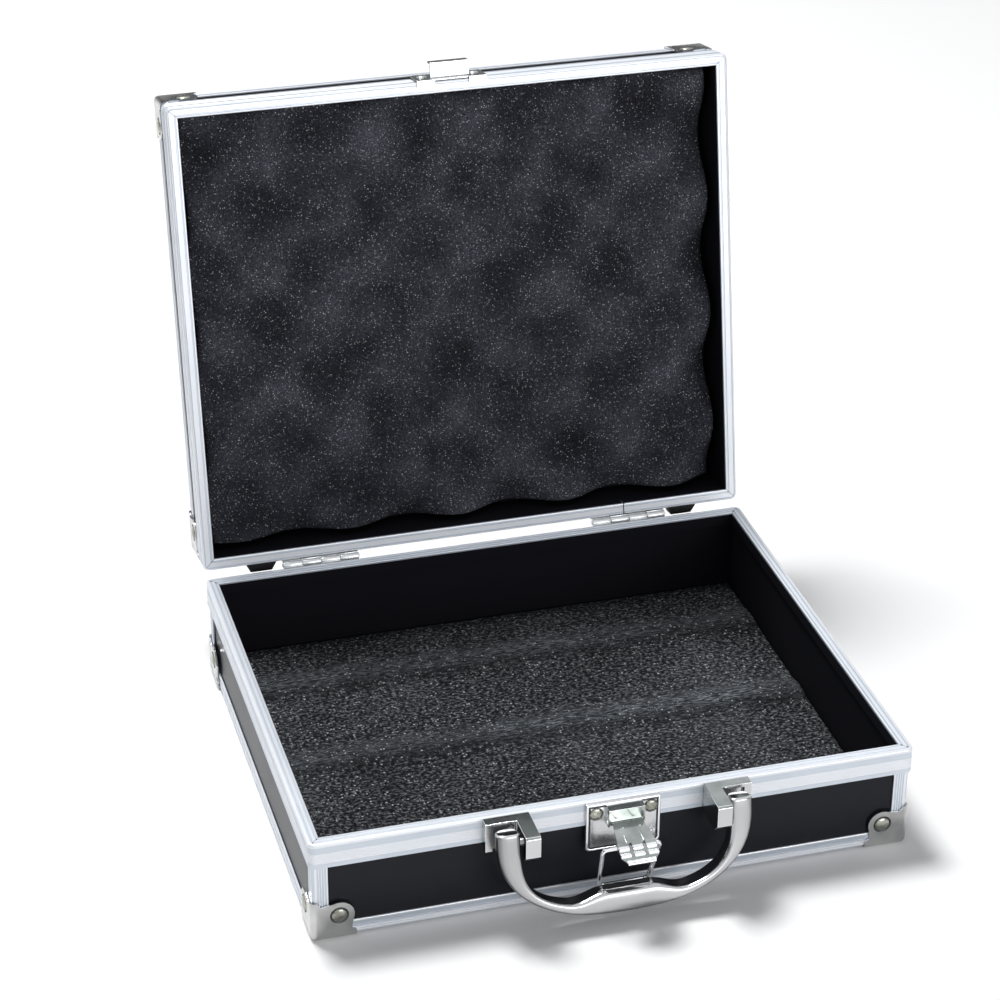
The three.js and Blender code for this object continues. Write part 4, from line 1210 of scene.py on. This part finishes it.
latch = {
    "x": 1.4,
    "plateWidth": 34.6,
    "plateTop": 51.2,
    "plateHeight": 24.8,
    "face": -118.2,
    "steps": ((0.0, 2.15), (0.0, 0.7), (0.15, 0.25), (0.5, 0.02), (0.95, 0.02))
    + ((1.25, 0.2), (1.4, 0.5), (1.8, 0.5), (2.1, 0.22)),
    "hoodWidth": 16.6,
    "hoodDepth": 4.9,
    "hoodTop": 50.2,
    "hoodHeight": 5.9,
    "cheekHeight": 9.6,
    "sheet": 0.9,
    "leverY": -120.4,
    "leverZ": 42.6,
    "leverRest": 10,
    "roll": 1.8,
    "leverWidth": 17.4,
    "slot": 1.4,
    "eye": (15.6, -0.4),
    "lipTurn": 14,
    "hookAt": 3.9,
    "hookRadius": 0.33,
    "hookRun": ((0.9, 6.6), (0.3, 6.5), (0, 7.2), (0, 14.6)),
    "curls": ((17.5, 1.45), (20.9, 1.2)),
    "curlOut": 0.8,
    "lip": (24.1, 0.75),
    "lipInset": 2.2,
    "spread": 12.7,
    "rivetZ": 46.1,
    "rivet": 3.15,
    "rivetRise": 1.05,
    "rivetRing": 3.3,
    "pin": 1.05,
}


def plateLoop(inset, back):
    # rounded outline of the pressed plate, its upper corners nearly square
    hx = latch["plateWidth"] / 2 - inset
    top = latch["plateTop"] - inset
    foot = latch["plateTop"] - latch["plateHeight"] + inset
    loop = []
    for sx, z, start, radius in ((1, top, 0, 0.5), (-1, top, 90, 0.5), (-1, foot, 180, 2), (1, foot, 270, 2)):
        radius = max(radius - inset * 0.5, 0.3)
        up = 1 if z == top else -1
        for u, v in arc(sx * (hx - radius), z - up * radius, radius, start, start + 90, 5):
            loop.append((latch["x"] + u, latch["face"] + back, v))
    return loop


def makePlate():
    half = latch["hoodWidth"] / 2
    face, wall = latch["face"], latch["sheet"]
    top = latch["hoodTop"]
    front = face - latch["hoodDepth"]
    cheek = [(face + 0.3, top - latch["cheekHeight"]), (face + 0.3, top), (front, top)]
    cheek += [(front, top - latch["hoodHeight"]), (face - 3.6, top - latch["cheekHeight"])]
    x0, x1 = latch["x"] - half, latch["x"] + half
    cover = block(x0, x1, front, face + 0.3, top - wall, top)
    nose = block(x0, x1, front, front + wall, top - latch["hoodHeight"], top)
    hood = newPiece("latchHood", *cover, baseFrame, shadeChrome)
    for made in (nose, shifted(prism(cheek, wall, "x"), x=x0), shifted(prism(cheek, wall, "x"), x=x1 - wall)):
        carve(hood, newPiece("hoodPart", *made, baseFrame, shadeChrome), "UNION")
    for sign in (-1, 1):
        middle = latch["x"] + sign * half
        hole = rod(middle - 2, middle + 2, latch["leverY"], latch["leverZ"], latch["pin"])
        carve(hood, newPiece("pinHole", *hole, baseFrame, shadeChrome), "DIFFERENCE")
    # painted highlight on the hood's rounded edges, against painted shade on its broad faces
    rounded(hood, 0.22, 3, 40, edge=chrome)
    seat(hood, "case", "latch_nickel")

    points, faces = skin([plateLoop(inset, back) for inset, back in latch["steps"]], False)
    plate = newPiece("latchPlate", points, faces, baseFrame, plateNickelAndHighlight, sharp=50)

    def number(at, side):
        # the raised border carries a painted highlight and the pressed groove painted shade
        deep, low = at.y - face, latch["plateTop"] - at.z
        inset = min(latch["plateWidth"] / 2 - abs(at.x - latch["x"]), low, latch["plateHeight"] - low)
        return 1 if deep < 0.15 and inset < 1.3 else 2 if deep > 0.3 and 1.2 < inset < 2 else 0

    paint(plate, (chrome, seamAndShadeDark), number, baseFrame)
    seat(plate, "case", "latch_nickel", "latch_base_plate")
    # painted shade: a thin dark ring round each of the plate's rivets
    rings = []
    for sign in (-1, 1):
        ring = arc(latch["x"] + sign * latch["spread"], latch["rivetZ"], latch["rivetRing"], 0, 360, 32)[:-1]
        rings.append(shifted(prism(ring, 0.3, "y"), y=face - 0.03))
    seat(newPiece("latchRivetShadeRings", *together(*rings), baseFrame, seamAndShadeDark), "case", "latch_nickel")


def leverPoint(x, along, out):
    c, s = leanOf(latch["leverRest"])
    y = latch["leverY"] - along * c - out * s
    return (latch["x"] + x, y, latch["leverZ"] - along * s + out * c)


def makeHooks():
    # two raised hook lines on the lever, in the bright chrome as a painted highlight
    made = []
    for sign in (-1, 1):
        run = [(sign * latch["hookAt"] + u, along) for u, along in latch["hookRun"]]
        rings = []
        for i, (x, along) in enumerate(run):
            before, after = run[max(i - 1, 0)], run[min(i + 1, len(run) - 1)]
            aim = Vector((after[0] - before[0], after[1] - before[1])).normalized()
            ring = arc(0, 0, latch["hookRadius"], 0, 360, 10)[:-1]
            rings.append([leverPoint(x + aim.y * u, along - aim.x * u, latch["roll"] + v) for u, v in ring])
        made.append(skin(rings, False))
    seat(newPiece("leverHooks", *together(*made), baseFrame, chrome), "lever", "lever_chrome")


def bentPoint(x, along, out):
    # the lever's end plate is bent down about the bail's axis
    c, s = leanOf(latch["lipTurn"])
    u, v = along - latch["eye"][0], out - latch["eye"][1]
    return leverPoint(x, latch["eye"][0] + u * c + v * s, latch["eye"][1] - u * s + v * c)


def makeCurls():
    # two rows of rolled bars with slots between them, and a lip, on the lever's bent end, in the bright
    # chrome as a painted highlight
    made = []
    pitch = (latch["leverWidth"] + latch["slot"]) / 3
    lift = latch["curlOut"]
    for along, radius in latch["curls"]:
        for i in range(3):
            x0 = -latch["leverWidth"] / 2 + i * pitch
            x1 = x0 + pitch - latch["slot"]
            rings = []
            for x, scale in ((x0, 0.8), (x0 + 0.3, 1), (x1 - 0.3, 1), (x1, 0.8)):
                bow = arc(along, lift, radius * scale, 0, 180, 16)
                rings.append([bentPoint(x, a, n) for a, n in bow])
            made.append(skin(rings, False))
    half = latch["leverWidth"] / 2 - latch["lipInset"]
    along, radius = latch["lip"]
    bow = arc(along, radius, radius, 0, 180, 12)
    made.append(skin([[bentPoint(x, a, n) for a, n in bow] for x in (-half, half)], False))
    seat(newPiece("leverCurls", *together(*made), baseFrame, chrome), "lever", "lever_chrome")


def makeRivets():
    # the plate's two rivets, wider than their solids' heads by their turned rim
    y = latch["face"] - 0.02
    seeds = [(latch["x"] + sign * latch["spread"], y, latch["rivetZ"]) for sign in (-1, 1)]
    values = {"Radius": latch["rivet"], "Rise": latch["rivetRise"], "Material": oliveRivet}
    heads = grow("latchRivets", rivetHeads, values, baseFrame, seeds, aims=[(0, -1, 0)] * 2)
    seat(heads, "case", "latch_nickel", "latch_rivet_left", "latch_rivet_right")


makePlate()
makeHooks()
makeCurls()
makeRivets()
dressNode("latch_lever_pin", chrome, "case", "latch_nickel", width=0.3, angle=38)
# painted shade on the lever's broad faces and a painted highlight on its rounded edges
dressNode("latch_lever", shadeChrome, "lever", "lever_chrome", width=0.28, angle=38, edge=chrome)
dressNode("latch_bail", chrome, "bail", "bail_chrome", width=0)
# painted shade: the keeper's rounded edges take the darker chrome as a dark outline
keeper = dressNode("latch_keeper", plateNickelAndHighlight, "lid", "latch_nickel", width=0.3, angle=38, edge=shadeChrome)
# its two ends turn away from the light
paint(keeper, (seamAndShadeDark,), lambda at, face: face.material_index or 2 * (abs(face.normal.x) > 0.9))
print("latch made")


# ---- floor and light


def seenRays(tree):
    # 1 for the camera's rays and for those that metal and glass send back
    rays = addNode(tree, "ShaderNodeLightPath").outputs
    seen = calc(tree, "MAXIMUM", rays["Is Camera Ray"], rays["Is Glossy Ray"])
    return calc(tree, "MAXIMUM", seen, rays["Is Transmission Ray"])


def makeStage():
    floor = bpy.data.meshes.new("floor")
    floor.from_pydata([(-6, -6, 0), (6, -6, 0), (6, 6, 0), (-6, 6, 0)], [], [(0, 1, 2, 3)])
    material, tree, shader, _ = newMaterial("paleFloor")
    inputs = {
        "Base Color": studio["floor"],
        "Roughness": 0.9,
        "Specular IOR Level": 0.1,
        "Emission Color": (1, 1, 1, 1),
        "Emission Strength": calc(tree, "MULTIPLY", seenRays(tree), studio["floorLift"]),
    }
    feed(tree, shader, inputs)
    floor.materials.append(material)
    obj = newObject("floor", floor)

    world = bpy.data.worlds.new("studio")
    scene.world = world
    world.use_nodes = True
    sky = world.node_tree
    # dark flags between bright panels round the horizon, and one bright ceiling
    aim = addNode(sky, "ShaderNodeTexCoord").outputs["Generated"]
    x, y, z = addNode(sky, "ShaderNodeSeparateXYZ", {0: aim}).outputs
    around = calc(sky, "MULTIPLY_ADD", calc(sky, "ARCTAN2", y, x), studio["flags"], studio["flagTurn"])
    flags = spread(sky, calc(sky, "SINE", around), studio["flagDark"], 1.0, -0.6, 0.4)
    level = mix(sky, spread(sky, z, 0.0, 1.0, 0.25, 0.55), flags, 1.0, "FLOAT")
    strength = mix(sky, seenRays(sky), studio["sky"], level, "FLOAT")
    feed(sky, sky.nodes["Background"], {"Color": studio["skyColour"], "Strength": strength})


studio = {
    "floor": (0.97, 0.97, 0.97, 1),
    "floorLift": 0.04,
    "skyColour": (0.95, 0.97, 1.0, 1),
    "flags": 3.0,
    "flagTurn": 0.6,
    "flagDark": 0.08,
    "sky": 0.2,
    "key": ((-0.42, 0.85, 2.35), (0.7, 0.7), 57),
    "fill": ((0.8, -2.3, 0.6), (1.4, 0.8), 20),
}


def areaLight(name, place, size, power):
    data = bpy.data.lights.new(name, "AREA")
    data.shape = "RECTANGLE"
    data.size, data.size_y = size
    data.energy = power
    light = newObject(name, data)
    light.location = place
    aim = Vector((0, 0, 0.1)) - Vector(place)
    light.rotation_euler = aim.to_track_quat("-Z", "Y").to_euler()


makeStage()
areaLight("keyLight", *studio["key"])
areaLight("fillLight", *studio["fill"])
print("stage made")
